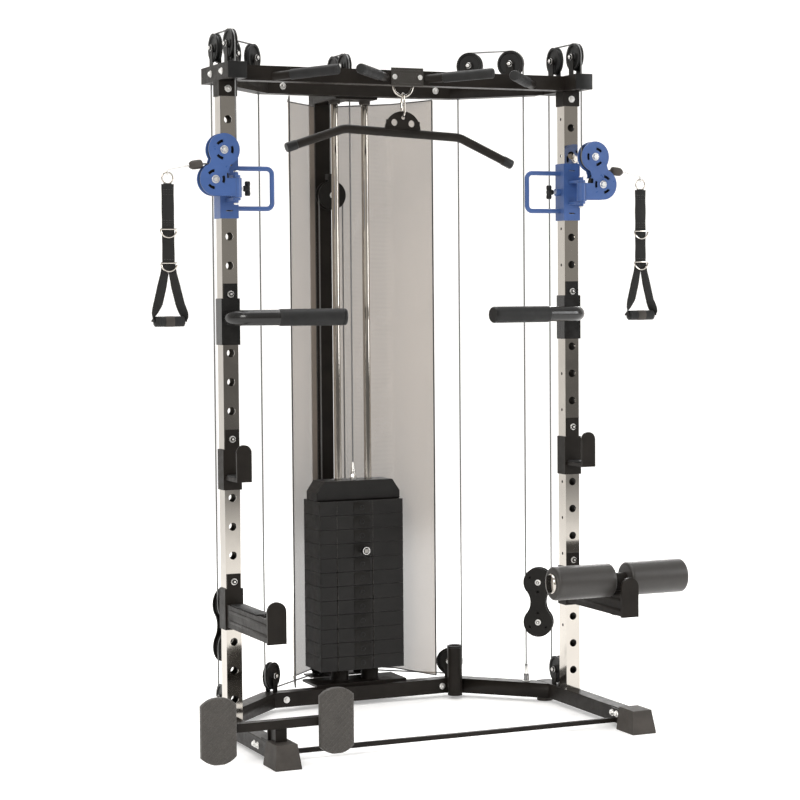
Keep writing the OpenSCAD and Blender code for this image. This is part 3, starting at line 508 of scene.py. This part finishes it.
# Pulley axles on the frame: place, and turn in degrees
AXLES = [
    (UP_X, WRAP_R + SWIVEL_Y, TOP_PULLEY_Z, 90.0), (UP_X, 87.0, TOP_PULLEY_Z, 90.0),
    (391.76, 316.24, TOP_PULLEY_Z, -45.0), (495.5, 212.5, TOP_PULLEY_Z, -45.0),
    (*BASE_PULLEY, BASE_PULLEY_Z, math.degrees(TURN)), (*TURN_PULLEY, BASE_PULLEY_Z, math.degrees(TURN)),
    (UP_X, 87.0, FOOT_PULLEY_Z, 90.0),
]
for k in (-1, 1):
    front = Vector((0, -1, 0))
    out = Vector((k, 0, 0))
    for z in (2025, 1393, 944, 500):
        bolt(bolts.bm, at(k * UP_X, -30, z), front)
    for y in (-58, 46):
        bolt(bolts.bm, at(k * (UP_X + 30), y, TOP_BEAM_Z), out)
    bolt(bolts.bm, at(k * 276, 345, TOP_BEAM_Z), front)
    bolt(bolts.bm, at(k * 286, 345, BASE_BEAM_Z), front)
    for y in (-300, -270):
        bolt(bolts.bm, at(k * (UP_X + TUBE_HALF), y, BASE_BEAM_Z), out)
    for y in (-374, -346):
        bolt(bolts.bm, at(k * (UP_X - 31), y, 46), -out)
    for x, y, z, turn in AXLES:
        a = math.radians(turn)
        axis = Vector((-k * math.sin(a), math.cos(a), 0))
        for end in (-1, 1):
            bolt(bolts.bm, at(k * x, y, z) + axis * (end * 0.015), axis * end, 7.6, 10.0)
    x, y, turn = SIDE_BLOCK
    a = math.radians(turn)
    axis = Vector((-k * math.sin(a), math.cos(a), 0))
    for z in (406, 270):
        for end in (-1, 1):
            bolt(bolts.bm, at(k * x, y, z) + axis * (end * 0.016), axis * end, 7.6, 10.0)
for y in (484.5, 576.5):
    for end in (-1, 1):
        bolt(bolts.bm, at(end * 15, y, TOP_PULLEY_Z), Vector((end, 0, 0)), 7.6, 10.0)
for x in (-44, 44):
    bolt(bolts.bm, at(x, -45, 2077), Vector((0, -1, 0)), 6.0, 8.0, 4.0)
bolts.finish()

float_bolts = Piece("float_hardware", "float", "bright_steel")
for end in (-1, 1):
    bolt(float_bolts.bm, at(0, FLOAT_Y + end * 16, FLOAT_Z), Vector((0, end, 0)), 7.6, 10.0)
float_bolts.finish()

for side, k in SIDES:
    arm_bolts = Piece(side + "_arm_hardware", side + "_arm", "bright_steel")
    for out_x, z in ARM_PULLEYS:
        for end in (-1, 1):
            bolt(arm_bolts.bm, at(k * (UP_X + out_x), SWIVEL_Y + end * 16, z), Vector((0, end, 0)), 9.4, 12.4)
    arm_bolts.finish()
    pin = Piece(side + "_hinge_pin_caps", side + "_carriage", "bright_steel")
    for z, way in ((1668, -1), (1768, 1)):
        lathe(pin.bm, at(k * UP_X, SWIVEL_Y, z), (0, 0, way),
              [(0, -3), (9, -3), (9, 0), (7.5, 2), (0, 3)], 24)
    pin.finish()

# ---- Mesh shroud -----------------------------------------------------------------------

def shroud(side, k):
    """Cloth panel from the front edge back to the post, a little slack between its edges."""
    low, high = 82.0, 2042.0
    corners = [(258.0, 336.0), (190.0, 530.0), (33.0, 684.0)]
    plan = []
    for (ax, ay), (bx, by) in zip(corners, corners[1:]):
        steps = 9
        plan += [(ax + (bx - ax) * i / steps, ay + (by - ay) * i / steps) for i in range(steps)]
    plan.append(corners[-1])
    piece = Piece(side + "_shroud", "frame", "mesh_cloth", replaced=["mesh_shroud"])
    rows = 40
    grid = []
    for r in range(rows + 1):
        share = r / rows
        line = []
        for i, (x, y) in enumerate(plan):
            across = i / (len(plan) - 1)
            slack = 3.5 * math.sin(math.pi * share) * math.sin(math.pi * across)
            ripple = 0.8 * math.sin(share * 31.0 + across * 5.0) * math.sin(math.pi * across)
            z = low + (high - low) * share
            line.append(piece.bm.verts.new(at(k * (x - slack - ripple), y - slack, z)))
        grid.append(line)
    for one, two in zip(grid, grid[1:]):
        for i in range(len(plan) - 1):
            piece.bm.faces.new((one[i], one[i + 1], two[i + 1], two[i]))
    cloth = piece.finish(sharp=1.5)
    hem = Piece(side + "_shroud_hem", "frame", "mesh_cloth", "edging")
    edge = [at(k * x, y, low) for x, y in plan]
    top = [at(k * x, y, high) for x, y in plan]
    tube(hem.bm, [edge[0].lerp(top[0], i / 20) for i in range(21)], 2.6, 10)
    tube(hem.bm, edge, 2.2, 8)
    tube(hem.bm, top, 2.2, 8)
    tube(hem.bm, [edge[-1].lerp(top[-1], i / 20) for i in range(21)], 2.2, 8)
    hem_piece = hem.finish(sharp=1.2)


for side, k in SIDES:
    shroud(side, k)

# ---- Weight stack ----------------------------------------------------------------------

def stack_trim(name, body, first, count):
    """Pin column and moulded pin-hole rims on the front of the plates."""
    column = Piece(name + "_column", body, "plate_iron", "bracket_black")
    holes = Piece(name + "_pin_holes", body, "plate_iron", "knob_plastic")
    for i in range(first, first + count):
        z = PLATES_Z0 + (i + 0.5) * PLATE_PITCH
        slab(column.bm, at(0, PLATE_FRONT - 0.6, z), (58, 3, 40), bevel=1.0)
        rim = [(6.1, -6), (6.1, 0.6), (7.0, 1.4), (8.8, 1.4), (9.4, 0.6), (9.4, 0)]
        lathe(holes.bm, at(0, PLATE_FRONT - 2.0, z), (0, -1, 0), rim, 24)
    for piece in (column, holes):
        piece.finish()


stack_trim("resting", "frame", 0, RESTING_COUNT)
stack_trim("lifted", "stack", RESTING_COUNT, PLATE_COUNT - RESTING_COUNT)

pin = Piece("selector_knob", "pin", "bright_steel", "knob_plastic")
pin_z = PLATES_Z0 + (RESTING_COUNT + 0.5) * PLATE_PITCH
lathe(pin.bm, at(0, PLATE_FRONT - 22, pin_z), (0, -1, 0),
      [(0, -0.4), (11, -0.4), (14, 1), (14.4, 4), (13.2, 8), (14.4, 12), (13.8, 16), (10, 18.4), (0, 19)], 36)
pin.finish()
flag = Piece("selector_flag", "pin", "bright_steel", "label")
slab(flag.bm, at(0, PLATE_FRONT - 41.5, pin_z), (13, 1.2, 13), bevel=0.5)
flag.finish()

eye = Piece("stem_fitting", "stack", "bright_steel")
lathe(eye.bm, at(0, STACK_Y, STEM_TOP), (0, 0, 1), [(0, -34), (10, -34), (10, -20), (8.6, -18), (0, -18)], 6)
lathe(eye.bm, at(0, STACK_Y, STEM_TOP), (0, 0, 1),
      [(7.6, -18), (7.6, -4), (5.0, 3), (3.4, 22), (2.6, 23)], 24)
eye.finish()

rods = Piece("rod_collars", "frame", "rubber_black")
for x in (-55, 55):
    lathe(rods.bm, at(x, STACK_Y, 2042), (0, 0, -1),
          [(12.6, 0), (19, 0), (19, 10), (17, 12), (12.6, 12), (12.6, 0)], 32)
rods.finish()

# ---- Carriages, stops, straps and grips ------------------------------------------------

def t_knob(side, k):
    """Pop pin: waisted bar, neck that stops short of the guide bush, and steel shaft."""
    face = UP_X - 30
    base = at(k * (face - 40), 0, CARRIAGE_Z)
    piece = Piece(side + "_t_knob", side + "_pop_pin", "knob_plastic", replaced=[side + "_pop_pin"])
    start = base + Vector((0, 0, -0.023))
    bar = [(0, 0), (6.6, 0.4), (8.6, 3), (9.0, 9), (7.6, 17), (7.2, 23),
           (7.6, 29), (9.0, 37), (8.6, 43), (6.6, 45.6), (0, 46)]
    lathe(piece.bm, start, (0, 0, 1), bar, 28)
    neck = [(0, 0), (8, 0), (9.5, 3), (9.5, 16), (8.2, 19.5), (6.3, 21.5), (0, 21.5)]
    lathe(piece.bm, at(k * (face - 46), 0, CARRIAGE_Z), (k, 0, 0), neck, 28)
    piece.finish()
    shaft = Piece(side + "_pin_shaft", side + "_pop_pin", "knob_plastic", "bright_steel")
    lathe(shaft.bm, at(k * (face - 27), 0, CARRIAGE_Z), (k, 0, 0),
          [(0, 0), (6, 0), (6, 25.5), (4.8, 25.5), (4.8, 30.2), (3.8, 31.5), (0, 31.5)], 24)
    shaft.finish()


def stop(side, k):
    """Cable under the pulley, moulded stop, wire loop and eye."""
    centre = at(k * (UP_X + WRAP_R), SWIVEL_Y, ARM_PULLEY_Z)
    rope = Piece(side + "_end_cable", side + "_arm", "cable_steel", replaced=[side + "_cable_stop"])
    arc = ring(centre, WRAP_R, (-k, 0, 0), (0, 0, -1), 0, 90, 14)
    tube(rope.bm, arc + [at(k * (UP_X + 112), SWIVEL_Y, STOP_Z)], 2.5)
    rope.finish()
    body = Piece(side + "_stop", side + "_arm", "rubber_black")
    lean = math.radians(8)
    way = Vector((k * math.cos(lean), 0, -math.sin(lean)))
    lathe(body.bm, at(k * (UP_X + 110), SWIVEL_Y, STOP_Z), way,
          [(2.5, 0), (9, 0), (13, 3), (14, 8), (14, 26), (13, 33), (10, 38), (6, 42), (2.5, 43)], 36)
    body.finish()
    wire = Piece(side + "_wire_eye", side + "_arm", "rubber_black", "bright_steel")
    start = at(k * (UP_X + 149), SWIVEL_Y, STOP_Z - 5)
    end = at(k * STRAP_X, SWIVEL_Y, EYE_Z + 9)
    tube(wire.bm, [start, start.lerp(end, 0.5), end], 2.5)
    lathe(wire.bm, start, end - start, [(2.5, 2), (4.6, 2), (4.6, 16), (2.5, 17)], 18)
    tube(wire.bm, ring(at(k * STRAP_X, SWIVEL_Y, EYE_Z), 7, (0, 1, 0), (0, 0, 1)), 2.0, closed=True)
    wire.finish()


def stirrup(side, k):
    """Webbing handle: doubled strap, legs to the grip, chrome rings and sewn boxes."""
    x, y = k * STRAP_X, SWIVEL_Y
    piece = Piece(side + "_webbing", side + "_strap", "webbing", replaced=[side + "_strap"])
    bm = piece.bm
    for layer, low in ((-1.35, SPLIT_Z), (1.35, SPLIT_Z + 2)):
        rows = [at(x, y + layer, STRAP_TOP - (STRAP_TOP - low) * i / 16) for i in range(17)]
        rows = [p + Vector((0, 0.0009 * math.sin(i * 1.3 + layer), 0)) for i, p in enumerate(rows)]
        strip(bm, rows, (1, 0, 0), 38, 2.4)
    # Loop over the ring at the top
    loop = ring(at(x, y, STRAP_TOP - 0.5), 3.0, (0, 1, 0), (0, 0, 1), -10, 200, 9)
    strip(bm, loop, (1, 0, 0), 24, 1.8)
    for j in (-1, 1):
        path = [(10, SPLIT_Z + 6), (13, SPLIT_Z - 28), (24, SPLIT_Z - 78), (35, SPLIT_Z - 122),
                (45, GRIP_Z + 26), (50.5, GRIP_Z + 10), (51, GRIP_Z - 1)]
        points = []
        for (ax, az), (bx, bz) in zip(path, path[1:]):
            points += [at(x + j * (ax + (bx - ax) * i / 5), y, az + (bz - az) * i / 5) for i in range(5)]
        points.append(at(x + j * path[-1][0], y, path[-1][1]))
        last = len(points) - 1
        bend = [math.pi / 2 * min(1.0, max(0.0, (i / last - 0.5) / 0.42)) for i in range(last + 1)]
        spread = [(j * math.cos(a), -math.sin(a), 0) for a in bend]
        strip(bm, points, spread, [20 + 10 * min(1.0, i / 9.0) for i in range(last + 1)], 2.4)
    piece.finish(sharp=0.9)
    thread = Piece(side + "_stitching", side + "_strap", "webbing", "edging")
    for z in (1702, 1610, 1570, 1506):
        for dx in (-13, -4.5, 4.5, 13):
            for dz in (-7, 0, 7):
                slab(thread.bm, at(x + dx, y - 2.9, z + dz), (5, 0.5, 0.8), bevel=0.2, steps=1)
    thread.finish()
    rings = Piece(side + "_strap_rings", side + "_strap", "webbing", "chrome_tube")
    tube(rings.bm, ring(at(x, y, EYE_Z - RING_R), RING_R, (1, 0, 0), (0, 0, 1), count=40), 2.5, closed=True)
    for z in (1590, SPLIT_Z + 2):
        d_ring = [at(x - 25, y - 5.5, z), at(x + 25, y - 5.5, z)]
        d_ring += ring(at(x, y - 5.5, z), 25, (1, 0, 0), (0, 0, -1), 8, 164, 22)
        tube(rings.bm, d_ring, 2.6, 10, closed=True)
    rings.finish()
    grip = Piece(side + "_stirrup_grip", side + "_grip", "grip_rubber", replaced=[side + "_grip"])
    profile = [(5.1, -47), (13, -47), (15.6, -44.5), (15.8, -38)]
    ribs = 13
    for i in range(ribs):
        t = -36 + 72.0 * i / ribs
        profile += [(15.0, t), (16.0, t + 1.4), (16.0, t + 3.6), (15.0, t + 5.0)]
    profile += [(15.8, 38), (15.6, 44.5), (13, 47), (5.1, 47)]
    lathe(grip.bm, at(x, y, GRIP_Z), (1, 0, 0), profile, 40)
    grip.finish(sharp=0.9)
    band = Piece(side + "_grip_band", side + "_grip", "grip_rubber", "rubber_black")
    lathe(band.bm, at(x, y, GRIP_Z), (1, 0, 0), [(15.9, -14), (16.3, -12), (16.3, 12), (15.9, 14)], 40)
    band.finish()


for side, k in SIDES:
    t_knob(side, k)
    stop(side, k)
    stirrup(side, k)

# ---- Foam rollers ----------------------------------------------------------------------

def roller(side, k):
    """Foam sleeve with soft ends on its tube, and the chrome cap at its outer end."""
    piece = Piece(side + "_foam_roller", side + "_roller", "foam", replaced=[side + "_roller"])
    half, r, soft = ROLLER_LEN / 2, 54.0, 9.0
    turns = (0.2, 0.55, 0.9, 1.25, 1.57)
    profile = [(12.2, -half), (r - soft - 3, -half)]
    profile += [(r - soft + soft * math.sin(a), -half + soft - soft * math.cos(a)) for a in turns]
    profile += [(r - 0.5 * (i % 2), -half + soft + (ROLLER_LEN - 2 * soft) * i / 24) for i in range(1, 24)]
    profile += [(r - soft + soft * math.sin(a), half - soft + soft * math.cos(a)) for a in reversed(turns)]
    profile += [(r - soft - 3, half), (12.2, half), (12.2, -half)]
    lathe(piece.bm, at(UP_X + k * (ROLLER_GAP + half), ROLLER_Y, ROLLER_Z), (1, 0, 0), profile, 64)
    piece.finish(sharp=1.0)
    cap = Piece(side + "_roller_cap", "roller_holder", "frame_black", "chrome_tube")
    end = ROLLER_GAP + ROLLER_LEN + 1
    dome = [(12.2, 0.4), (31, 0.4), (32, 2), (31.6, 5), (29, 8.0), (20, 9.4), (0, 10)]
    lathe(cap.bm, at(UP_X + k * end, ROLLER_Y, ROLLER_Z), (k, 0, 0), dome, 48)
    cap.finish()


for side, k in SIDES:
    roller(side, k)

# ---- Footrest pads ---------------------------------------------------------------------

def foot_pad(name, x):
    """Rubber tread: a plate with arched ends and crossed raised ribs."""
    piece = Piece(name, "frame", "pad_rubber")
    front, depth, wide, tall = -472.0, 22.0, 54.0, 98.4
    arch, arch_z = 75.0, 24.0
    nx, nz = 72, 132
    pitch, rib_half, rib_h = 20.0, 0.14, 2.0
    rows = {}
    for back in (0, 1):
        for j in range(nz + 1):
            z = -tall + 2 * tall * j / nz
            w = min(wide, math.sqrt(arch ** 2 - max(0.0, abs(z) - arch_z) ** 2))
            for i in range(nx + 1):
                u = -w + 2 * w * i / nx
                edge = max(0.0, min(1.0, (w - abs(u)) / 5.0, (tall - abs(z)) / 5.0))
                crown = math.sqrt(1 - (1 - edge) ** 2)
                a, b = (u + z) / pitch, (u - z) / pitch
                near = min(abs(a - round(a)), abs(b - round(b)))
                tread = rib_h * max(0.0, 1 - near / rib_half) * edge
                y = front + 3.5 * (1 - crown) + (rib_h - tread)
                if back:
                    y = front + depth - 3.0 * (1 - crown)
                rows[back, j, i] = piece.bm.verts.new(at(x + u, y, 128 + z))
    for back in (0, 1):
        for j in range(nz):
            for i in range(nx):
                quad = [rows[back, j, i], rows[back, j, i + 1],
                        rows[back, j + 1, i + 1], rows[back, j + 1, i]]
                piece.bm.faces.new(quad if not back else quad[::-1])
    rim = [(0, i) for i in range(nx + 1)] + [(j, nx) for j in range(1, nz + 1)]
    rim += [(nz, i) for i in range(nx - 1, -1, -1)] + [(j, 0) for j in range(nz - 1, 0, -1)]
    for (j, i), (n, m) in zip(rim, rim[1:] + rim[:1]):
        piece.bm.faces.new((rows[0, j, i], rows[1, j, i], rows[1, n, m], rows[0, n, m]))
    return piece.finish(sharp=0.5)


pads = [foot_pad("left_foot_pad", -801), foot_pad("right_foot_pad", -432)]
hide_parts("footrest_pads")

# ---- Grips, sleeves, liners and caps on the frame ---------------------------------------

sleeves = Piece("bar_sleeves", "frame", "grip_rubber")
# Besides the caps, this piece holds the painted shade sheets inside the upright tubes
caps = Piece("tube_caps_and_shade_sheets", "frame", "knob_plastic")
liners = Piece("cup_liners", "frame", "rubber_black", "grip_rubber")
beads = Piece("spotter_beads", "frame", "frame_black")
PULL_UP_GRIPS = (
    ((448, -34, 2066), (300, -200, 2078)),
    ((70, -34, 2074), (226, -200, 2082)),
)
for k in (-1, 1):
    # Dip handle: a slim sleeve on the outer end, and a domed end cap
    elbow = at(k * (UP_X - 45), -50, 1320)
    lean = math.radians(83)
    way = Vector((-k * math.sin(lean), -math.cos(lean), 0))
    side_way = Vector((-k * math.cos(lean), math.sin(lean), 0))
    bar_start = elbow - side_way * 0.045
    lathe(sleeves.bm, bar_start, way,
          [(24.6, 92), (26.0, 93), (26.4, 96), (26.4, 292), (25.8, 296), (24.6, 297)], 40)
    lathe(caps.bm, bar_start, way, [(24.6, 296), (26.6, 296), (26.6, 302), (24, 306), (0, 308)], 40)
    # Pull-up grips
    for (ax, ay, az), (bx, by, bz) in PULL_UP_GRIPS:
        start, end = at(k * ax, ay, az), at(k * bx, by, bz)
        span = (end - start).length * 1000
        ribs = [(14.1, 60), (16, 61)]
        for i in range(int((span - 66) / 6)):
            ribs += [(16.0, 63 + 6 * i), (16.5, 65 + 6 * i), (16.5, 67 + 6 * i)]
        ribs += [(16, span - 2), (14, span + 1.5), (0, span + 2.5)]
        lathe(sleeves.bm, start, end - start, ribs, 28)
    # Front caps of the top beams
    slab(caps.bm, at(k * UP_X, -116.5, TOP_BEAM_Z), (61, 4, 51), bevel=1.4)
    # J-cup liners
    slab(liners.bm, at(k * UP_X, -82, 832.5), (44, 88, 5), bevel=1.6)
    slab(liners.bm, at(k * UP_X, -126.4, 872), (44, 5, 72), bevel=1.6)
    # Pressed rails along both sides of the spotter arm
    for edge in (-25.6, 25.6):
        for z in (380, 412):
            slab(beads.bm, at(k * (UP_X + edge), -222, z), (2.4, 330, 9), bevel=1.0)
    # Strip along the top of the spotter arm, in front of its socket
    slab(liners.bm, at(k * UP_X, -180, 432), (44, 230, 4), bevel=1.4)
    # Painted shade: thin dark sheets inside the upright tubes, which darken their insides where shade falls,
    # open at the three holes where the pop pin can lock
    lows = [70.0] + [z + PIN_HOLE_HALF for z in PIN_HOLES]
    highs = [z - PIN_HOLE_HALF for z in PIN_HOLES] + [2045.0]
    for low, high in zip(lows, highs):
        for shade_sheet_x in (-21.6, 21.6):
            slab(caps.bm, at(k * (UP_X + shade_sheet_x), 0, (low + high) / 2), (0.5, 43, high - low),
                 bevel=0.1, steps=1)
    # Ends of the foot beams
    slab(caps.bm, at(k * UP_X, 191.5, BASE_BEAM_Z), (49, 3, 49), bevel=1.0)
# Mouth of the bar storage tube
lathe(caps.bm, at(320, 316, 182), (0, 0, 1),
      [(22.0, -4), (22.0, 1.6), (25.6, 1.6), (26.4, 0), (26.4, -6), (25.1, -7)], 40)
sleeves.finish(sharp=0.9)
caps.finish()
liners.finish()
beads.finish()

# ---- Pulldown bar -----------------------------------------------------------------------

hook = Piece("snap_hook", "lat_bar", "frame_black", "chrome_tube")
loop = ring(at(0, HANG_Y, 2017), 11, (0, 1, 0), (0, 0, 1), 0, 180, 12)
loop += ring(at(0, HANG_Y, 1966), 11, (0, -1, 0), (0, 0, -1), 0, 180, 12)
tube(hook.bm, loop, 3.25, 14, closed=True)
lathe(hook.bm, at(0, 3, 1976), (0, 0, 1), [(3.2, 0), (4.8, 0), (4.8, 24), (4.2, 26), (3.2, 26)], 20)
hook.finish()
ring_piece = Piece("top_ring", "frame", "patterned_plate", "chrome_tube")
tube(ring_piece.bm, ring(at(0, HANG_Y, 2052), 33, (1, 0, 0), (0, 0, -1), 0, 180, 30), 4.25, 16)
ring_piece.finish()
bar_ends = Piece("bar_end_caps", "lat_bar", "frame_black", "knob_plastic")
tilt = math.radians(3)
droop = math.atan2(74, 392 - 201)
for k in (-1, 1):
    end = Vector((k * 392, 0, 1902 - 74 - 1958))
    way = Vector((k * math.cos(droop), 0, -math.sin(droop)))
    turn = Matrix.Rotation(tilt, 3, "Y")
    lathe(bar_ends.bm, at(0, HANG_Y, 1958) + (turn @ end) / 1000, turn @ way,
          [(14.1, -34), (15.4, -33), (15.6, -30), (15.6, -2), (14, 1.5), (0, 2.5)], 32)
bar_ends.finish()

# ---- Patterned plate, cable ends and cable clamps ----------------------------------------

ribs = Piece("plate_ribs", "frame", "patterned_plate")
for i in range(9):
    slant = Matrix.Rotation(math.radians(24), 3, "Y")
    slab(ribs.bm, at(-28 + 7 * i, -45.4, 2078), (2.6, 1.6, 26), slant, 0.6)
slab(ribs.bm, at(0, -45.4, 2098), (92, 1.4, 2.4), bevel=0.5)
slab(ribs.bm, at(0, -45.4, 2057), (92, 1.4, 2.4), bevel=0.5)
ribs.finish()

fittings = Piece("cable_fittings", "frame", "bright_steel")
for k in (-1, 1):
    # Turnbuckle at the anchor of the lower loop
    foot = at(k * 526.3, 181.7, 65)
    lathe(fittings.bm, foot, (0, 0, 1),
          [(0, 0.2), (14, 0.2), (14, 3), (9.4, 4), (9.4, 20), (6, 25), (5.6, 52), (3.4, 60), (2.6, 61)], 6)
    # Snap hook at the low cable end
    ball = at(k * UP_X, 50, FOOT_PULLEY_Z - WRAP_R)
    lathe(fittings.bm, ball, (0, 1, 0), [(0, -6), (8.4, -6), (8.6, 0), (8.6, 18), (6, 22), (2.6, 24)], 28)
    loop = ring(ball + Vector((0, -0.012, -0.006)), 8, (0, 1, 0), (0, 0, 1), -30, 240, 14)
    loop += ring(ball + Vector((0, -0.016, -0.034)), 10, (0, -1, 0), (0, 0, -1), 0, 180, 12)
    tube(fittings.bm, loop, 2.2, 10, closed=True)
fittings.finish()

# ---- Studio ------------------------------------------------------------------------------

def studio():
    floor = bpy.data.meshes.new("floor")
    reach, lift = 60.0, 9.0
    back = 6.0
    profile = [(-reach, 0.0), (back, 0.0)]
    sweep = 3.0
    for i in range(1, 11):
        a = math.radians(9 * i)
        profile.append((back + sweep * math.sin(a), sweep - sweep * math.cos(a)))
    profile.append((back + sweep, lift))
    turn = Matrix.Rotation(math.radians(-CAMERA_YAW), 3, "Z")
    verts = []
    for y, z in profile:
        verts += [turn @ Vector((-reach, y, z - 0.0002)), turn @ Vector((reach, y, z - 0.0002))]
    faces = [(2 * i, 2 * i + 1, 2 * i + 3, 2 * i + 2) for i in range(len(profile) - 1)]
    floor.from_pydata(verts, [], faces)
    floor.shade_smooth()
    obj = bpy.data.objects.new("floor", floor)
    bpy.context.scene.collection.objects.link(obj)
    s = Shader("studio_floor")
    # Painted shade and light: the floor's colour darkens far in front, as if the light fell off there, which
    # gives the chrome something darker to mirror; nearer, the floor glows a little through its emission.
    parts = s.node("ShaderNodeSeparateXYZ")
    s.link(s.place, parts.inputs[0])
    near = s.spread(parts.outputs["Y"], 0.08, 1.0, -8.6, -5.0)
    s.link(s.mix(near, (0.05, 0.048, 0.045), (0.9, 0.895, 0.885)), s.bsdf.inputs["Base Color"])
    # Painted light: the near floor glows through its emission, though it is no lamp
    s.link(s.times(near, 0.3), s.bsdf.inputs["Emission Strength"])
    s.bsdf.inputs["Roughness"].default_value = 0.75
    s.bsdf.inputs["Emission Color"].default_value = (1, 1, 1, 1)
    floor.materials.append(s.material)

    def lamp(name, place, aim, size, power, colour=(1, 1, 1)):
        light = bpy.data.lights.new(name, "AREA")
        light.shape = "RECTANGLE"
        light.size, light.size_y = size
        light.energy = power
        light.color = colour
        made = bpy.data.objects.new(name, light)
        made.location = place
        made.rotation_euler = (Vector(aim) - Vector(place)).to_track_quat("-Z", "Y").to_euler()
        bpy.context.scene.collection.objects.link(made)

    lamp("key", (-4.2, -4.6, 4.2), (0, 0, 1.1), (2.4, 2.4), 180, (1.0, 0.985, 0.96))
    lamp("fill", (4.6, -3.4, 2.4), (0, 0, 1.0), (2.0, 3.0), 115, (0.97, 0.985, 1.0))
    lamp("top", (0.0, 0.6, 5.6), (0, 0, 0), (4.0, 4.0), 190)
    lamp("rim", (2.6, 4.4, 3.2), (0, 0, 1.2), (2.0, 2.0), 110)

    world = bpy.data.worlds.new("studio")
    world.use_nodes = True
    tree = world.node_tree
    place = tree.nodes.new("ShaderNodeTexCoord")
    split = tree.nodes.new("ShaderNodeSeparateXYZ")
    ramp = tree.nodes.new("ShaderNodeValToRGB")
    remap = tree.nodes.new("ShaderNodeMapRange")
    remap.inputs["From Min"].default_value = -1.0
    tree.links.new(place.outputs["Generated"], split.inputs[0])
    tree.links.new(split.outputs["Z"], remap.inputs["Value"])
    tree.links.new(remap.outputs["Result"], ramp.inputs["Fac"])
    # A dimmer patch in front and to the right, which the chrome mirrors
    flag_side = tree.nodes.new("ShaderNodeVectorMath")
    flag_side.operation = "DOT_PRODUCT"
    flag_side.inputs[1].default_value = (0.31, -0.948, 0.06)
    tree.links.new(place.outputs["Generated"], flag_side.inputs[0])
    flag = tree.nodes.new("ShaderNodeMapRange")
    flag.inputs["From Min"].default_value = 0.945
    flag.inputs["From Max"].default_value = 0.988
    tree.links.new(flag_side.outputs["Value"], flag.inputs["Value"])
    shade = tree.nodes.new("ShaderNodeMix")
    shade.data_type = "RGBA"
    shade.inputs[7].default_value = (0.5, 0.485, 0.46, 1)
    tree.links.new(flag.outputs["Result"], shade.inputs[0])
    tree.links.new(ramp.outputs["Color"], shade.inputs[6])
    tree.links.new(shade.outputs[2], tree.nodes["Background"].inputs["Color"])
    ramp.color_ramp.elements[0].color = (0.62, 0.58, 0.53, 1)
    ramp.color_ramp.elements[1].color = (1, 1, 1, 1)
    middle = ramp.color_ramp.elements.new(0.52)
    middle.color = (0.8, 0.76, 0.7, 1)
    tree.nodes["Background"].inputs["Strength"].default_value = 0.7
    bpy.context.scene.world = world
    bpy.context.scene.view_settings.view_transform = "Standard"


studio()
